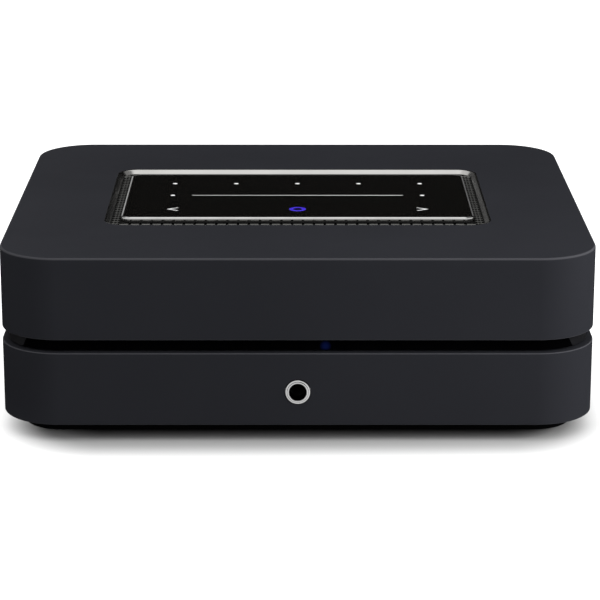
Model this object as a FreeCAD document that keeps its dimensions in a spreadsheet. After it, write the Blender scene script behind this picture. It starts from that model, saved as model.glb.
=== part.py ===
import FreeCAD, Part

import math
import os

import Sketcher

# Streaming amplifier: two stacked casings with a dark waist between them, a touch
# panel in a bevelled recess on top, a headphone socket in front and sockets behind.
# Millimetres. X to the right, Y to the back, Z up, origin at the middle of the
# footprint of the whole part, speaker terminals included.

SIZES = {
    # casing
    "body_width": 220.0,
    "body_depth": 190.0,
    "body_height": 70.0,
    "corner_radius": 22.4,
    "shell_wall": 4.0,
    "lower_bottom": 6.5,
    "lower_top": 34.8,
    "upper_bottom": 39.0,
    "top_thickness": 4.2,
    "deck_thickness": 2.4,
    "deck_margin_x": 12.0,
    "deck_margin_y": 23.0,
    "deck_corner": 6.0,
    "waist_chamfer": 1.2,
    "edge_chamfer": 0.6,
    "fit": 0.2,
    # waist between the casings
    "waist_inset": 2.4,
    "band_thickness": 1.0,
    "frame_thickness": 3.0,
    "window_end_margin": 11.0,
    "window_end_slant": 2.0,
    "window_return": 24.0,
    # bottom tray and feet
    "tray_plate": 2.2,
    "tray_inset": 8.0,
    "tray_bottom": 2.0,
    "tray_floor": 2.2,
    "tray_wall": 2.0,
    "foot_radius": 9.0,
    "foot_inset_x": 30.0,
    "foot_inset_y": 31.0,
    "vent_slot_length": 34.0,
    "vent_slot_width": 2.4,
    "vent_slot_pitch": 6.0,
    "vent_slot_count": 9.0,
    "vent_x": 34.0,
    # casing screws and their pillars
    "pillar_inset": 16.0,
    "pillar_width": 8.0,
    "screw_radius": 1.5,
    "screw_clearance": 0.05,
    "screw_head_radius": 2.8,
    "screw_head_height": 2.2,
    "screw_bite": 9.0,
    # recess, grille and touch panel
    "recess_width": 148.0,
    "recess_depth_y": 93.0,
    "recess_corner": 8.0,
    "recess_depth": 1.6,
    "recess_ledge": 4.0,
    "bevel_width": 2.2,
    "bevel_lip": 0.3,
    "grille_thickness": 0.6,
    "slot_length": 2.9,
    "slot_width": 0.7,
    "slot_pitch": 4.15,
    "slot_row_pitch": 6.0,
    "panel_width": 136.0,
    "panel_depth": 73.0,
    "panel_corner": 4.0,
    "carrier_inset": 0.4,
    "carrier_thickness": 0.6,
    "bezel_height": 1.35,
    "bezel_width": 0.8,
    "sensor_thickness": 0.5,
    "glass_drop": 0.1,
    # ribbon from the touch panel to the main board
    "ribbon_width": 12.0,
    "ribbon_thickness": 0.3,
    "ribbon_y": 30.0,
    "ribbon_slot": 0.5,
    "ribbon_socket_width": 15.0,
    "ribbon_socket_depth": 5.0,
    "ribbon_socket_height": 2.5,
    # boards
    "board_thickness": 1.6,
    "board_level": 10.0,
    "board_gap": 4.0,
    "main_board_side_margin": 18.0,
    "main_board_front_margin": 5.0,
    "power_board_width": 47.0,
    "power_board_side_margin": 6.0,
    "power_board_front_margin": 23.0,
    "power_board_back_margin": 27.0,
    "standoff_radius": 3.0,
    "standoff_inset": 6.0,
    "main_left_standoff_back": 24.0,
    "main_right_standoff_back": 36.0,
    "power_left_standoff_back": 30.0,
    "board_screw_radius": 1.2,
    "board_screw_head_radius": 2.4,
    "board_screw_head_height": 1.6,
    "board_screw_bite": 4.0,
    # front board behind the window
    "front_board_width": 36.0,
    "front_board_depth": 8.0,
    "front_board_thickness": 0.8,
    "light_x": 10.1,
    "light_width": 2.4,
    "receiver_x": -10.1,
    "receiver_width": 3.0,
    "light_body": 3.0,
    "light_height": 2.4,
    # headphone socket
    "jack_z": 19.3,
    "jack_bore_radius": 3.2,
    "jack_ring_radius": 4.55,
    "jack_ring_proud": 0.6,
    "jack_ring_gap": 0.3,
    "jack_nut_radius": 6.4,
    "jack_nut_thickness": 2.0,
    "jack_body_width": 15.0,
    "jack_body_length": 24.0,
    "jack_back_wall": 2.0,
    "contact_width": 2.0,
    "contact_thickness": 0.5,
    # rear panel
    "panel_plate": 1.6,
    "rear_window_sill": 0.6,
    "rear_window_head": 0.4,
    "rear_window_corner": 1.0,
    "rear_panel_lap": 2.0,
    "rear_panel_corner_gap": 0.6,
    # speaker terminals
    "terminal_reach": 15.0,
    "terminal_spacing": 19.05,
    "terminal_row_pitch": 13.6,
    "terminal_block_width": 28.4,
    "terminal_block_thickness": 2.2,
    "terminal_block_margin": 0.8,
    "shoulder_reach": 1.0,
    "post_radius": 2.8,
    "plug_bore_radius": 2.0,
    "plug_bore_depth": 10.4,
    "post_tip_drop": 0.4,
    "wire_hole_width": 2.2,
    "post_nut_radius": 3.8,
    "post_nut_thickness": 4.0,
    "running_fit": 0.05,
    "seat_gap": 0.3,
    "washer_radius": 4.6,
    "washer_thickness": 1.2,
    "cap_radius": 5.5,
    "cap_collar_inset": 0.8,
    "cap_collar_length": 1.4,
    "flute_count": 10.0,
    "flute_depth": 0.7,
    # small sockets
    "phono_z": 18.4,
    "phono_sleeve_radius": 4.15,
    "phono_sleeve_wall": 0.6,
    "phono_reach": 4.6,
    "phono_bore_radius": 1.6,
    "phono_bore_depth": 9.0,
    "phono_body_width": 10.0,
    "phono_body_depth": 9.0,
    "minijack_z": 15.2,
    "minijack_bore_radius": 1.8,
    "minijack_bore_depth": 14.0,
    "minijack_nose_radius": 3.0,
    "minijack_body_width": 8.0,
    "minijack_body_depth": 13.0,
    "media_width": 13.2,
    "media_height": 5.8,
    "media_depth": 14.0,
    "media_tongue_width": 11.1,
    "media_tongue_thickness": 1.8,
    "tv_width": 15.0,
    "tv_height": 6.0,
    "tv_depth": 11.0,
    "tv_foot_inset": 1.6,
    "tv_tongue_width": 11.4,
    "tv_tongue_thickness": 1.0,
    "socket_wall": 0.4,
    "socket_inset": 0.4,
    "tongue_length": 9.0,
    "tongue_root": 1.5,
    "network_width": 16.0,
    "network_height": 13.5,
    "network_depth": 21.0,
    "network_cavity_width": 11.9,
    "network_cavity_height": 8.2,
    "network_cavity_depth": 13.5,
    "network_cavity_floor": 3.2,
    "network_latch_width": 6.2,
    "network_latch_height": 1.6,
    "cutout_clearance": 0.3,
    # mains inlet
    "inlet_flange_width": 29.6,
    "inlet_flange_height": 22.0,
    "inlet_flange_thickness": 1.6,
    "inlet_flange_corner": 2.0,
    "inlet_body_width": 27.0,
    "inlet_body_height": 19.6,
    "inlet_body_depth": 18.0,
    "inlet_cavity_width": 24.2,
    "inlet_cavity_height": 16.4,
    "inlet_cavity_depth": 16.0,
    "inlet_cavity_chamfer": 4.6,
    "pin_width": 2.0,
    "pin_height": 4.0,
    "pin_reach": 13.0,
    "pin_spacing": 14.0,
    "pin_row_offset": 2.0,
    "pin_tag_length": 7.0,
    # components on the boards
    "transformer_side_margin": 24.0,
    "transformer_y": 8.0,
    "core_width": 36.0,
    "core_depth": 24.0,
    "core_height": 28.0,
    "core_yoke": 6.0,
    "winding_overhang": 5.0,
    "winding_gap": 0.4,
    "capacitor_radius": 8.0,
    "capacitor_height": 25.0,
    "capacitor_side_margin": 34.0,
    "capacitor_front_margin": 34.0,
    "capacitor_pitch": 18.0,
    "choke_side_margin": 32.0,
    "choke_back_margin": 16.0,
    "choke_width": 18.0,
    "choke_height": 14.0,
    "choke_limb": 5.0,
    "chip_size": 12.0,
    "chip_height": 1.6,
    "chip_pitch": 30.0,
    "heat_sink_side_margin": 22.0,
    "heat_sink_y": -12.0,
    "heat_sink_width": 38.0,
    "heat_sink_length": 62.0,
    "heat_sink_base": 4.0,
    "heat_sink_height": 17.0,
    "fin_thickness": 1.6,
    "fin_count": 9.0,
    "inductor_size": 12.0,
    "inductor_height": 10.0,
    "inductor_chamfer": 1.0,
    "inductor_y": 38.0,
    "inductor_pitch": 15.0,
    "shield_width": 34.0,
    "shield_depth": 30.0,
    "shield_height": 4.0,
    "shield_wall": 0.4,
    "radio_side_margin": 23.0,
    "radio_y": -54.0,
    "radio_width": 22.0,
    "radio_depth": 16.0,
    "radio_height": 2.6,
    "antenna_side_margin": 48.0,
    "antenna_front_margin": 11.0,
    "antenna_width": 36.0,
    "antenna_depth": 7.0,
    "antenna_thickness": 0.8,
}


class Size:
    """A length that knows both its spreadsheet expression and its number."""

    def __init__(self, text, number):
        self.text = text
        self.number = number

    def __float__(self):
        return float(self.number)

    def __add__(self, other):
        other = as_size(other)
        return Size("(" + self.text + " + " + other.text + ")", self.number + other.number)

    def __radd__(self, other):
        return as_size(other) + self

    def __sub__(self, other):
        other = as_size(other)
        return Size("(" + self.text + " - " + other.text + ")", self.number - other.number)

    def __rsub__(self, other):
        return as_size(other) - self

    def __mul__(self, other):
        other = as_size(other)
        return Size("(" + self.text + " * " + other.text + ")", self.number * other.number)

    def __rmul__(self, other):
        return as_size(other) * self

    def __truediv__(self, other):
        other = as_size(other)
        return Size("(" + self.text + " / " + other.text + ")", self.number / other.number)

    def __neg__(self):
        return as_size(0) - self


def as_size(value):
    """A plain number becomes a size whose expression is the number itself."""
    if isinstance(value, Size):
        return value
    return Size("(" + repr(float(value)) + ")", float(value))


class Sizes:
    """Every driving dimension, by its spreadsheet alias."""


document = FreeCAD.newDocument("StreamingAmplifier")
sheet = document.addObject("Spreadsheet::Sheet", "Sizes")
s = Sizes()
for row, (alias, number) in enumerate(SIZES.items(), start=1):
    sheet.set("A" + str(row), alias.replace("_", " "))
    sheet.set("B" + str(row), str(number))
    sheet.setAlias("B" + str(row), alias)
    setattr(s, alias, Size("Sizes." + alias, number))
document.recompute()

# Levels and half sizes that several pieces share
casing_middle = (s.jack_ring_proud - s.terminal_reach) / 2
half_width = s.body_width / 2
half_depth = s.body_depth / 2
front_face = -half_depth
inner_side = half_width - s.shell_wall
inner_front = front_face + s.shell_wall
inner_back = half_depth - s.shell_wall
panel_back = inner_back - s.panel_plate
tray_top = s.lower_bottom + s.tray_plate
tray_floor_top = s.tray_bottom + s.tray_floor
board_top = s.board_level + s.board_thickness
deck_bottom = s.lower_top - s.deck_thickness
waist_middle = (s.lower_top + s.upper_bottom) / 2
window_half_width = half_width - s.window_end_margin
grille_top = s.body_height - s.recess_depth
grille_bottom = grille_top - s.grille_thickness
carrier_top = grille_top + s.carrier_thickness

# The window in the lower casing's back wall, and the panel that closes it from inside
rear_window_bottom = tray_top + s.rear_window_sill
rear_window_top = deck_bottom - s.rear_window_head
rear_middle_z = (rear_window_bottom + rear_window_top) / 2
rear_panel_half_width = half_width - s.corner_radius - s.rear_panel_corner_gap
rear_window_half_width = rear_panel_half_width - s.rear_panel_lap
block_height = rear_window_top - rear_window_bottom - s.fit * 2

# The boards, side by side
power_board_right = inner_side - s.power_board_side_margin
power_board_left = power_board_right - s.power_board_width
power_board_front = inner_front + s.power_board_front_margin
power_board_back = inner_back - s.power_board_back_margin
main_board_left = s.main_board_side_margin - inner_side
main_board_right = power_board_left - s.board_gap
main_board_front = inner_front + s.main_board_front_margin
main_board_back = inner_back - s.post_nut_thickness - s.fit * 2
heat_sink_x = main_board_left + s.heat_sink_side_margin


def rear_row():
    """Middles of the terminal block and the sockets, in one row with even gaps from end to end."""
    widths = {
        "terminals": s.terminal_block_width,
        "phono": s.phono_body_width,
        "audio": s.minijack_body_width,
        "remote_eye": s.minijack_body_width,
        "media": s.media_width,
        "tv": s.tv_width,
        "network": s.network_width,
        "inlet": s.inlet_flange_width,
    }
    room = (rear_window_half_width - s.terminal_block_margin) * 2
    for width in widths.values():
        room = room - width
    gap = room / (len(widths) - 1)
    left = s.terminal_block_margin - rear_window_half_width
    places = {}
    for name, width in widths.items():
        places[name] = left + width / 2
        left = left + width + gap
    return places


rear_x = rear_row()
plus_x = rear_x["terminals"] - s.terminal_spacing / 2
minus_x = rear_x["terminals"] + s.terminal_spacing / 2
upper_row_z = rear_middle_z + s.terminal_row_pitch / 2
lower_row_z = rear_middle_z - s.terminal_row_pitch / 2
terminal_places = {
    "left_plus": (plus_x, upper_row_z),
    "left_minus": (minus_x, upper_row_z),
    "right_plus": (plus_x, lower_row_z),
    "right_minus": (minus_x, lower_row_z),
}
main_screw_places = [
    (main_board_left + s.standoff_inset, main_board_front + s.standoff_inset),
    (main_board_right - s.standoff_inset, main_board_front + s.standoff_inset),
    (main_board_right - s.standoff_inset, main_board_back - s.main_right_standoff_back),
    (main_board_left + s.standoff_inset, main_board_back - s.main_left_standoff_back),
]
power_screw_places = [
    (power_board_left + s.standoff_inset, power_board_front + s.standoff_inset),
    (power_board_right - s.standoff_inset, power_board_front + s.standoff_inset),
    (power_board_right - s.standoff_inset, power_board_back - s.standoff_inset),
    (power_board_left + s.standoff_inset, power_board_back - s.power_left_standoff_back),
]
board_screw_places = main_screw_places + power_screw_places

pieces = {}


def bind(thing, name, size):
    """Ties one property of an object to the spreadsheet."""
    thing.setExpression(name, as_size(size).text)


def vector(x, y):
    return FreeCAD.Vector(float(x), float(y), 0)


def fix_point(sketch, index, which, x, y):
    """Holds one point of a sketch at a place given by two sizes."""
    for kind, size in (("DistanceX", x), ("DistanceY", y)):
        constraint = Sketcher.Constraint(kind, -1, 1, index, which, float(size))
        bind(sketch, "Constraints[" + str(sketch.addConstraint(constraint)) + "]", size)


def polygon(corners):
    """Closed outline of straight edges through the given corners."""
    def draw(sketch):
        first = sketch.GeometryCount
        count = len(corners)
        for i in range(count):
            start = vector(*corners[i])
            end = vector(*corners[(i + 1) % count])
            sketch.addGeometry(Part.LineSegment(start, end), False)
        for i in range(count):
            following = first + (i + 1) % count
            sketch.addConstraint(Sketcher.Constraint("Coincident", first + i, 2, following, 1))
            fix_point(sketch, first + i, 1, *corners[i])
    return draw


def rectangle(left, right, bottom, top):
    return polygon([(left, bottom), (right, bottom), (right, top), (left, top)])


def centred(width, height, x=0, y=0):
    """Rectangle of a width and a height about a middle."""
    return rectangle(x - width / 2, x + width / 2, y - height / 2, y + height / 2)


def hexagon(radius, x=0, y=0):
    """Six-sided outline inside a circle, for nuts, standoffs and small hidden screws."""
    half = radius / 2
    flat = radius * HEXAGON_FLAT
    return polygon([(x + radius, y + 0), (x + half, y + flat), (x - half, y + flat),
                    (x - radius, y + 0), (x - half, y - flat), (x + half, y - flat)])


def fluted(radius, depth, count):
    """Outline with flat ridges at a radius and a V-shaped groove of a depth after each."""
    points = []
    for i in range(count):
        for share, reach in ((-RIDGE_SHARE, radius), (RIDGE_SHARE, radius), (0.5, radius - depth)):
            angle = (i + share) * 4 * QUARTER_TURN / count
            points.append((reach * math.cos(angle), reach * math.sin(angle)))
    return polygon(points)


def circle(radius, x=0, y=0):
    def draw(sketch):
        round_edge = Part.Circle(vector(x, y), FreeCAD.Vector(0, 0, 1), float(radius))
        index = sketch.addGeometry(round_edge, False)
        constraint = Sketcher.Constraint("Radius", index, float(radius))
        bind(sketch, "Constraints[" + str(sketch.addConstraint(constraint)) + "]", radius)
        fix_point(sketch, index, 3, x, y)
    return draw


def rounded(half_x, half_y, radius, x=0, y=0):
    """Rectangle with four equal round corners, tangent to its sides."""
    def draw(sketch):
        first = sketch.GeometryCount
        cx, cy, hx, hy, r = (float(v) for v in (x, y, half_x, half_y, radius))
        inner_x, inner_y = hx - r, hy - r
        sides = [
            ((-inner_x, -hy), (inner_x, -hy)),
            ((hx, -inner_y), (hx, inner_y)),
            ((inner_x, hy), (-inner_x, hy)),
            ((-hx, inner_y), (-hx, -inner_y)),
        ]
        centres = [(inner_x, -inner_y), (inner_x, inner_y), (-inner_x, inner_y), (-inner_x, -inner_y)]
        for i in range(4):
            start, end = sides[i]
            line = Part.LineSegment(vector(cx + start[0], cy + start[1]), vector(cx + end[0], cy + end[1]))
            sketch.addGeometry(line, False)
            middle = vector(cx + centres[i][0], cy + centres[i][1])
            whole = Part.Circle(middle, FreeCAD.Vector(0, 0, 1), r)
            sketch.addGeometry(Part.ArcOfCircle(whole, (i - 1) * QUARTER_TURN, i * QUARTER_TURN), False)
        for i in range(4):
            line, arc, following = first + 2 * i, first + 2 * i + 1, first + (2 * i + 2) % 8
            sketch.addConstraint(Sketcher.Constraint("Tangent", line, 2, arc, 1))
            sketch.addConstraint(Sketcher.Constraint("Tangent", arc, 2, following, 1))
        for arc in (first + 3, first + 5, first + 7):
            sketch.addConstraint(Sketcher.Constraint("Equal", first + 1, arc))
        constraint = Sketcher.Constraint("Radius", first + 1, r)
        bind(sketch, "Constraints[" + str(sketch.addConstraint(constraint)) + "]", radius)
        for kind, line, size in (
            ("DistanceY", first, y - half_y),
            ("DistanceX", first + 2, x + half_x),
            ("DistanceY", first + 4, y + half_y),
            ("DistanceX", first + 6, x - half_x),
        ):
            constraint = Sketcher.Constraint(kind, -1, 1, line, 1, float(size))
            bind(sketch, "Constraints[" + str(sketch.addConstraint(constraint)) + "]", size)
        for direction, line in (("Horizontal", 0), ("Vertical", 2), ("Horizontal", 4), ("Vertical", 6)):
            sketch.addConstraint(Sketcher.Constraint(direction, first + line))
    return draw


QUARTER_TURN = math.pi / 2
HEXAGON_FLAT = math.sqrt(3) / 2
RIDGE_SHARE = 0.24
EDGE_REACH = 0.01
PLANES = {"x": "YZ_Plane", "y": "XZ_Plane", "z": "XY_Plane"}


class Piece:
    """One sub-part, a body drawn about the middle of the casing unless it has its own place.

    The axis of an extrusion is named by a letter. A sketch square to x shows (y, z),
    one square to y shows (x, z) and one square to z shows (x, y).
    """

    def __init__(self, name, x=0, y=0, z=0):
        self.body = document.addObject("PartDesign::Body", name)
        self.body.Label = name
        bind(self.body, "Placement.Base.x", x)
        bind(self.body, "Placement.Base.y", y + casing_middle)
        bind(self.body, "Placement.Base.z", z)
        pieces[name] = self.body

    def origin(self, role):
        return [feature for feature in self.body.Origin.OriginFeatures if feature.Role == role][0]

    def sketch(self, axis, level, outlines):
        """A sketch square to an axis, at a level along it; the y plane's normal points to -Y."""
        sketch = self.body.newObject("Sketcher::SketchObject", self.body.Label + "_sketch")
        sketch.AttachmentSupport = [(self.origin(PLANES[axis]), "")]
        sketch.MapMode = "FlatFace"
        bind(sketch, "AttachmentOffset.Base.z", -level if axis == "y" else level)
        for outline in outlines:
            outline(sketch)
        return sketch

    def add(self, axis, low, high, *outlines):
        """Material between two levels."""
        level = high if axis == "y" else low
        feature = self.body.newObject("PartDesign::Pad", self.body.Label + "_pad")
        feature.Profile = self.sketch(axis, as_size(level), outlines)
        bind(feature, "Length", high - low)
        self.body.Tip = feature
        document.recompute()
        return feature

    def cut(self, axis, low, high, *outlines):
        """A hole between two levels; it has to take material away."""
        before = self.body.Shape.Volume
        level = low if axis == "y" else high
        sketch = self.sketch(axis, as_size(level), outlines)
        feature = self.body.newObject("PartDesign::Pocket", self.body.Label + "_pocket")
        feature.Profile = sketch
        bind(feature, "Length", high - low)
        self.body.Tip = feature
        document.recompute()
        if not feature.Shape.Volume < before:
            raise RuntimeError(self.body.Label + ": a pocket cuts nothing")
        return feature

    def turn(self, axis, outline):
        """A round piece: an outline in (radius, along) turned about the y or the z axis."""
        sketch = self.sketch({"y": "z", "z": "y"}[axis], as_size(0), [outline])
        feature = self.body.newObject("PartDesign::Revolution", self.body.Label + "_turned")
        feature.Profile = sketch
        feature.ReferenceAxis = (sketch, ["V_Axis"])
        feature.Angle = 360
        self.body.Tip = feature
        document.recompute()
        return feature

    def spread(self, feature, axis, span, count):
        """Copies of a feature spread evenly over a span along an axis."""
        pattern = self.body.newObject("PartDesign::LinearPattern", self.body.Label + "_row")
        pattern.Originals = [feature]
        pattern.Direction = (self.origin(axis.upper() + "_Axis"), [""])
        bind(pattern, "Length", span)
        bind(pattern, "Occurrences", count)
        self.body.Tip = pattern
        document.recompute()

    def soften(self, size, chosen):
        """A chamfer on the edges of the finished form that a test picks."""
        tip = self.body.Tip
        names = ["Edge" + str(i) for i, edge in enumerate(tip.Shape.Edges, start=1) if chosen(edge)]
        if not names:
            raise RuntimeError(self.body.Label + ": no edge to soften")
        feature = self.body.newObject("PartDesign::Chamfer", self.body.Label + "_edge")
        feature.Base = (tip, names)
        bind(feature, "Size", size)
        self.body.Tip = feature
        document.recompute()


def at_level(level):
    """Picks the edges that lie wholly at one height."""
    def chosen(edge):
        box = edge.BoundBox
        return abs(box.ZMin - float(level)) < EDGE_REACH and abs(box.ZMax - float(level)) < EDGE_REACH
    return chosen


def corners(x, y):
    """The four mirrored places of a point."""
    return [(-x, -y), (x, -y), (x, y), (-x, y)]


def inset_outline(inset):
    """The casing's plan, moved inwards."""
    return rounded(half_width - inset, half_depth - inset, s.corner_radius - inset)


pillar_places = corners(half_width - s.pillar_inset, half_depth - s.pillar_inset)
pillar_hole = s.screw_radius + s.screw_clearance


def circles(radius, places):
    return [circle(radius, x, y) for x, y in places]


def hexagons(radius, places):
    return [hexagon(radius, x, y) for x, y in places]


def squares(width, places):
    return [centred(width, width, x, y) for x, y in places]


# Lower casing with its deck, pillars, rear window and headphone hole

def base_shell():
    shell = Piece("base_shell")
    shell.add("z", s.lower_bottom, s.lower_top, inset_outline(as_size(0)))
    shell.soften(s.waist_chamfer, at_level(s.lower_top))
    shell.soften(s.edge_chamfer, at_level(s.lower_bottom))
    shell.cut("z", s.lower_bottom, deck_bottom, inset_outline(s.shell_wall))
    shell.cut("z", deck_bottom, s.lower_top,
              rounded(half_width - s.deck_margin_x, half_depth - s.deck_margin_y, s.deck_corner))
    shell.cut("z", deck_bottom, s.lower_top, *hexagons(pillar_hole, pillar_places))
    shell.cut("y", front_face, inner_front, circle(s.jack_ring_radius + s.jack_ring_gap, 0, s.jack_z))
    shell.cut("y", inner_back, half_depth,
              rounded(rear_window_half_width, (rear_window_top - rear_window_bottom) / 2,
                      s.rear_window_corner, 0, rear_middle_z))


# Upper casing with the stepped opening for the grille

def top_shell():
    shell = Piece("top_shell")
    ceiling = s.body_height - s.top_thickness
    recess_x = s.recess_width / 2
    recess_y = s.recess_depth_y / 2
    shell.add("z", s.upper_bottom, s.body_height, inset_outline(as_size(0)))
    shell.soften(s.edge_chamfer, at_level(s.body_height))
    shell.soften(s.waist_chamfer, at_level(s.upper_bottom))
    shell.cut("z", s.upper_bottom, ceiling, inset_outline(s.shell_wall))
    shell.cut("z", grille_bottom, s.body_height, rounded(recess_x, recess_y, s.recess_corner))
    shell.cut("z", ceiling, grille_bottom,
              rounded(recess_x - s.recess_ledge, recess_y - s.recess_ledge,
                      s.recess_corner - s.recess_ledge / 2))
    shell.add("z", s.lower_top, ceiling, *squares(s.pillar_width, pillar_places))
    shell.cut("z", s.lower_top, s.lower_top + s.screw_bite + s.screw_clearance,
              *hexagons(pillar_hole, pillar_places))


# Bottom tray: flange inside the lower casing, inset plinth, standoffs and air slots

def base_plate():
    plate = Piece("base_plate")
    flange_inset = s.shell_wall + s.fit
    plate.add("z", s.lower_bottom, tray_top, inset_outline(flange_inset))
    plate.add("z", s.tray_bottom, s.lower_bottom, inset_outline(s.tray_inset))
    plate.cut("z", tray_floor_top, tray_top, inset_outline(s.tray_inset + s.tray_wall))
    plate.add("z", tray_floor_top, deck_bottom, *squares(s.pillar_width, pillar_places))
    plate.cut("z", s.tray_bottom, deck_bottom, *hexagons(pillar_hole, pillar_places))
    plate.cut("z", s.tray_bottom, s.tray_bottom + s.screw_head_height + s.fit,
              *hexagons(s.screw_head_radius + s.fit, pillar_places))
    plate.add("z", tray_floor_top, s.board_level, *hexagons(s.standoff_radius, board_screw_places))
    plate.cut("z", s.board_level - s.board_screw_bite, s.board_level,
              *hexagons(s.board_screw_radius + s.screw_clearance, board_screw_places))
    first_row = -s.vent_slot_pitch * (s.vent_slot_count - 1) / 2
    slot = plate.cut("z", s.tray_bottom, tray_floor_top,
                     centred(s.vent_slot_length, s.vent_slot_width, -s.vent_x, first_row),
                     centred(s.vent_slot_length, s.vent_slot_width, s.vent_x, first_row))
    plate.spread(slot, "y", s.vent_slot_pitch * (s.vent_slot_count - 1), s.vent_slot_count)


def rubber_feet():
    feet = Piece("rubber_feet")
    places = corners(half_width - s.foot_inset_x, half_depth - s.foot_inset_y)
    feet.add("z", as_size(0), s.tray_bottom, *circles(s.foot_radius, places))


# Waist: a frame that carries the upper casing, a dark band and the glossy front window

def waist_frame():
    frame = Piece("waist_frame")
    outer = s.waist_inset + s.band_thickness
    play = s.screw_clearance * 2
    frame.add("z", s.lower_top, s.upper_bottom, inset_outline(outer))
    frame.cut("z", s.lower_top, s.upper_bottom, inset_outline(outer + s.frame_thickness))
    frame.cut("y", front_face, inner_front + outer + s.frame_thickness,
              *[centred(width + play, s.light_height + play, x, waist_middle)
                for width, x in ((s.light_width, s.light_x), (s.receiver_width, s.receiver_x))])


def waist_ring(name):
    """The thin ring round the frame, before it is parted into band and window."""
    ring = Piece(name)
    ring.add("z", s.lower_top, s.upper_bottom, inset_outline(s.waist_inset))
    ring.cut("z", s.lower_top, s.upper_bottom, inset_outline(s.waist_inset + s.band_thickness))
    return ring


def waist_band():
    band = waist_ring("waist_band")
    low = s.lower_top
    high = s.upper_bottom
    band.cut("y", front_face, front_face + s.window_return,
             polygon([(-window_half_width - s.window_end_slant, low),
                      (window_half_width + s.window_end_slant, low),
                      (window_half_width, high), (-window_half_width, high)]))


def waist_window():
    window = waist_ring("waist_window")
    low = s.lower_top
    high = s.upper_bottom
    window.cut("z", low, high, rectangle(-half_width, half_width, front_face + s.window_return, half_depth))
    for side in (-1, 1):
        window.cut("y", front_face, front_face + s.window_return,
                   polygon([(side * (window_half_width + s.window_end_slant), low), (side * half_width, low),
                            (side * half_width, high), (side * window_half_width, high)]))


# Top recess: bevelled trim, perforated grille and the touch panel that stands on it

def recess_trim():
    trim = Piece("recess_trim")
    outer_x = s.recess_width / 2
    outer_y = s.recess_depth_y / 2
    lip = s.bevel_lip
    foot = s.bevel_width
    trim.add("z", grille_top, s.body_height, rounded(outer_x, outer_y, s.recess_corner))
    low = trim.sketch("z", grille_top, [rounded(outer_x - foot, outer_y - foot, s.recess_corner - foot)])
    high = trim.sketch("z", s.body_height, [rounded(outer_x - lip, outer_y - lip, s.recess_corner - lip)])
    before = trim.body.Shape.Volume
    bevel = trim.body.newObject("PartDesign::SubtractiveLoft", "recess_bevel")
    bevel.Profile = low
    bevel.Sections = [high]
    bevel.Ruled = True
    trim.body.Tip = bevel
    document.recompute()
    if not bevel.Shape.Volume < before:
        raise RuntimeError("recess_trim: the bevel cuts nothing")


def slot_wire(x, y, size_x, size_y):
    """A rectangular slot as a closed wire at the grille's underside."""
    level = float(grille_bottom)
    points = [(x - size_x / 2, y - size_y / 2), (x + size_x / 2, y - size_y / 2),
              (x + size_x / 2, y + size_y / 2), (x - size_x / 2, y + size_y / 2)]
    points.append(points[0])
    return Part.makePolygon([FreeCAD.Vector(px, py, level) for px, py in points])


def spaced(span, pitch):
    """Middles of as many equal steps as fit in a span, centred on zero."""
    count = int(span / pitch)
    return [(i - (count - 1) / 2) * pitch for i in range(count)]


def vent_grille():
    """One sheet with rows of slots that run along the four strips round the touch panel.

    A strip has one row where a slot's length fits across it, and one more for each row pitch past that.
    """
    half_x = float(s.recess_width / 2 - s.fit)
    half_y = float(s.recess_depth_y / 2 - s.fit)
    corner = float(s.recess_corner - s.fit)
    open_x = float(s.recess_width / 2 - s.bevel_width)
    open_y = float(s.recess_depth_y / 2 - s.bevel_width)
    panel_x = float(s.panel_width / 2)
    panel_y = float(s.panel_depth / 2)
    length, width = float(s.slot_length), float(s.slot_width)
    pitch, row_pitch = float(s.slot_pitch), float(s.slot_row_pitch)
    wires = []
    for row in spaced(open_y - panel_y - length + row_pitch, row_pitch):
        strip = (open_y + panel_y) / 2 + row
        for x in spaced(2 * open_x, pitch):
            wires += [slot_wire(x, side * strip, length, width) for side in (-1, 1)]
    strip = (open_x + panel_x) / 2
    for y in spaced(2 * panel_y, pitch):
        wires += [slot_wire(side * strip, y, width, length) for side in (-1, 1)]
    ribbon = slot_wire(0, float(s.ribbon_y), float(s.ribbon_width + s.ribbon_slot * 2),
                       float(s.ribbon_thickness + s.ribbon_slot * 2))
    outline = Part.makeBox(2 * half_x, 2 * half_y, 1, FreeCAD.Vector(-half_x, -half_y, float(grille_bottom)))
    upright = [edge for edge in outline.Edges if edge.BoundBox.ZLength > 0.5]
    outline = outline.makeFillet(corner, upright)
    floor = [face for face in outline.Faces if face.CenterOfMass.z < float(grille_bottom) + 0.01][0]
    sheet_face = Part.Face([floor.OuterWire, ribbon] + wires)
    sheet_face.validate()
    plate = sheet_face.extrude(FreeCAD.Vector(0, 0, float(s.grille_thickness)))
    feature = document.addObject("Part::Feature", "vent_grille")
    feature.Label = "vent_grille"
    feature.Shape = plate
    bind(feature, "Placement.Base.y", casing_middle)
    pieces["vent_grille"] = feature


def panel_outline(inset):
    return rounded(s.panel_width / 2 - inset, s.panel_depth / 2 - inset, s.panel_corner - inset)


def ribbon_slot():
    return centred(s.ribbon_width + s.ribbon_slot * 2, s.ribbon_thickness + s.ribbon_slot * 2, 0, s.ribbon_y)


def touch_panel():
    carrier = Piece("touch_carrier")
    carrier.add("z", grille_top, carrier_top, panel_outline(s.carrier_inset))
    carrier.cut("z", grille_top, carrier_top, ribbon_slot())
    bezel = Piece("touch_bezel")
    bezel_top = carrier_top + s.bezel_height
    bezel.add("z", carrier_top, bezel_top, panel_outline(as_size(0)))
    bezel.cut("z", carrier_top, bezel_top, panel_outline(s.bezel_width))
    inside = s.bezel_width + s.running_fit
    sensor = Piece("touch_sensor")
    sensor_top = carrier_top + s.sensor_thickness
    sensor.add("z", carrier_top, sensor_top, panel_outline(inside))
    glass = Piece("touch_glass")
    glass.add("z", sensor_top, bezel_top - s.glass_drop, panel_outline(inside))


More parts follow.
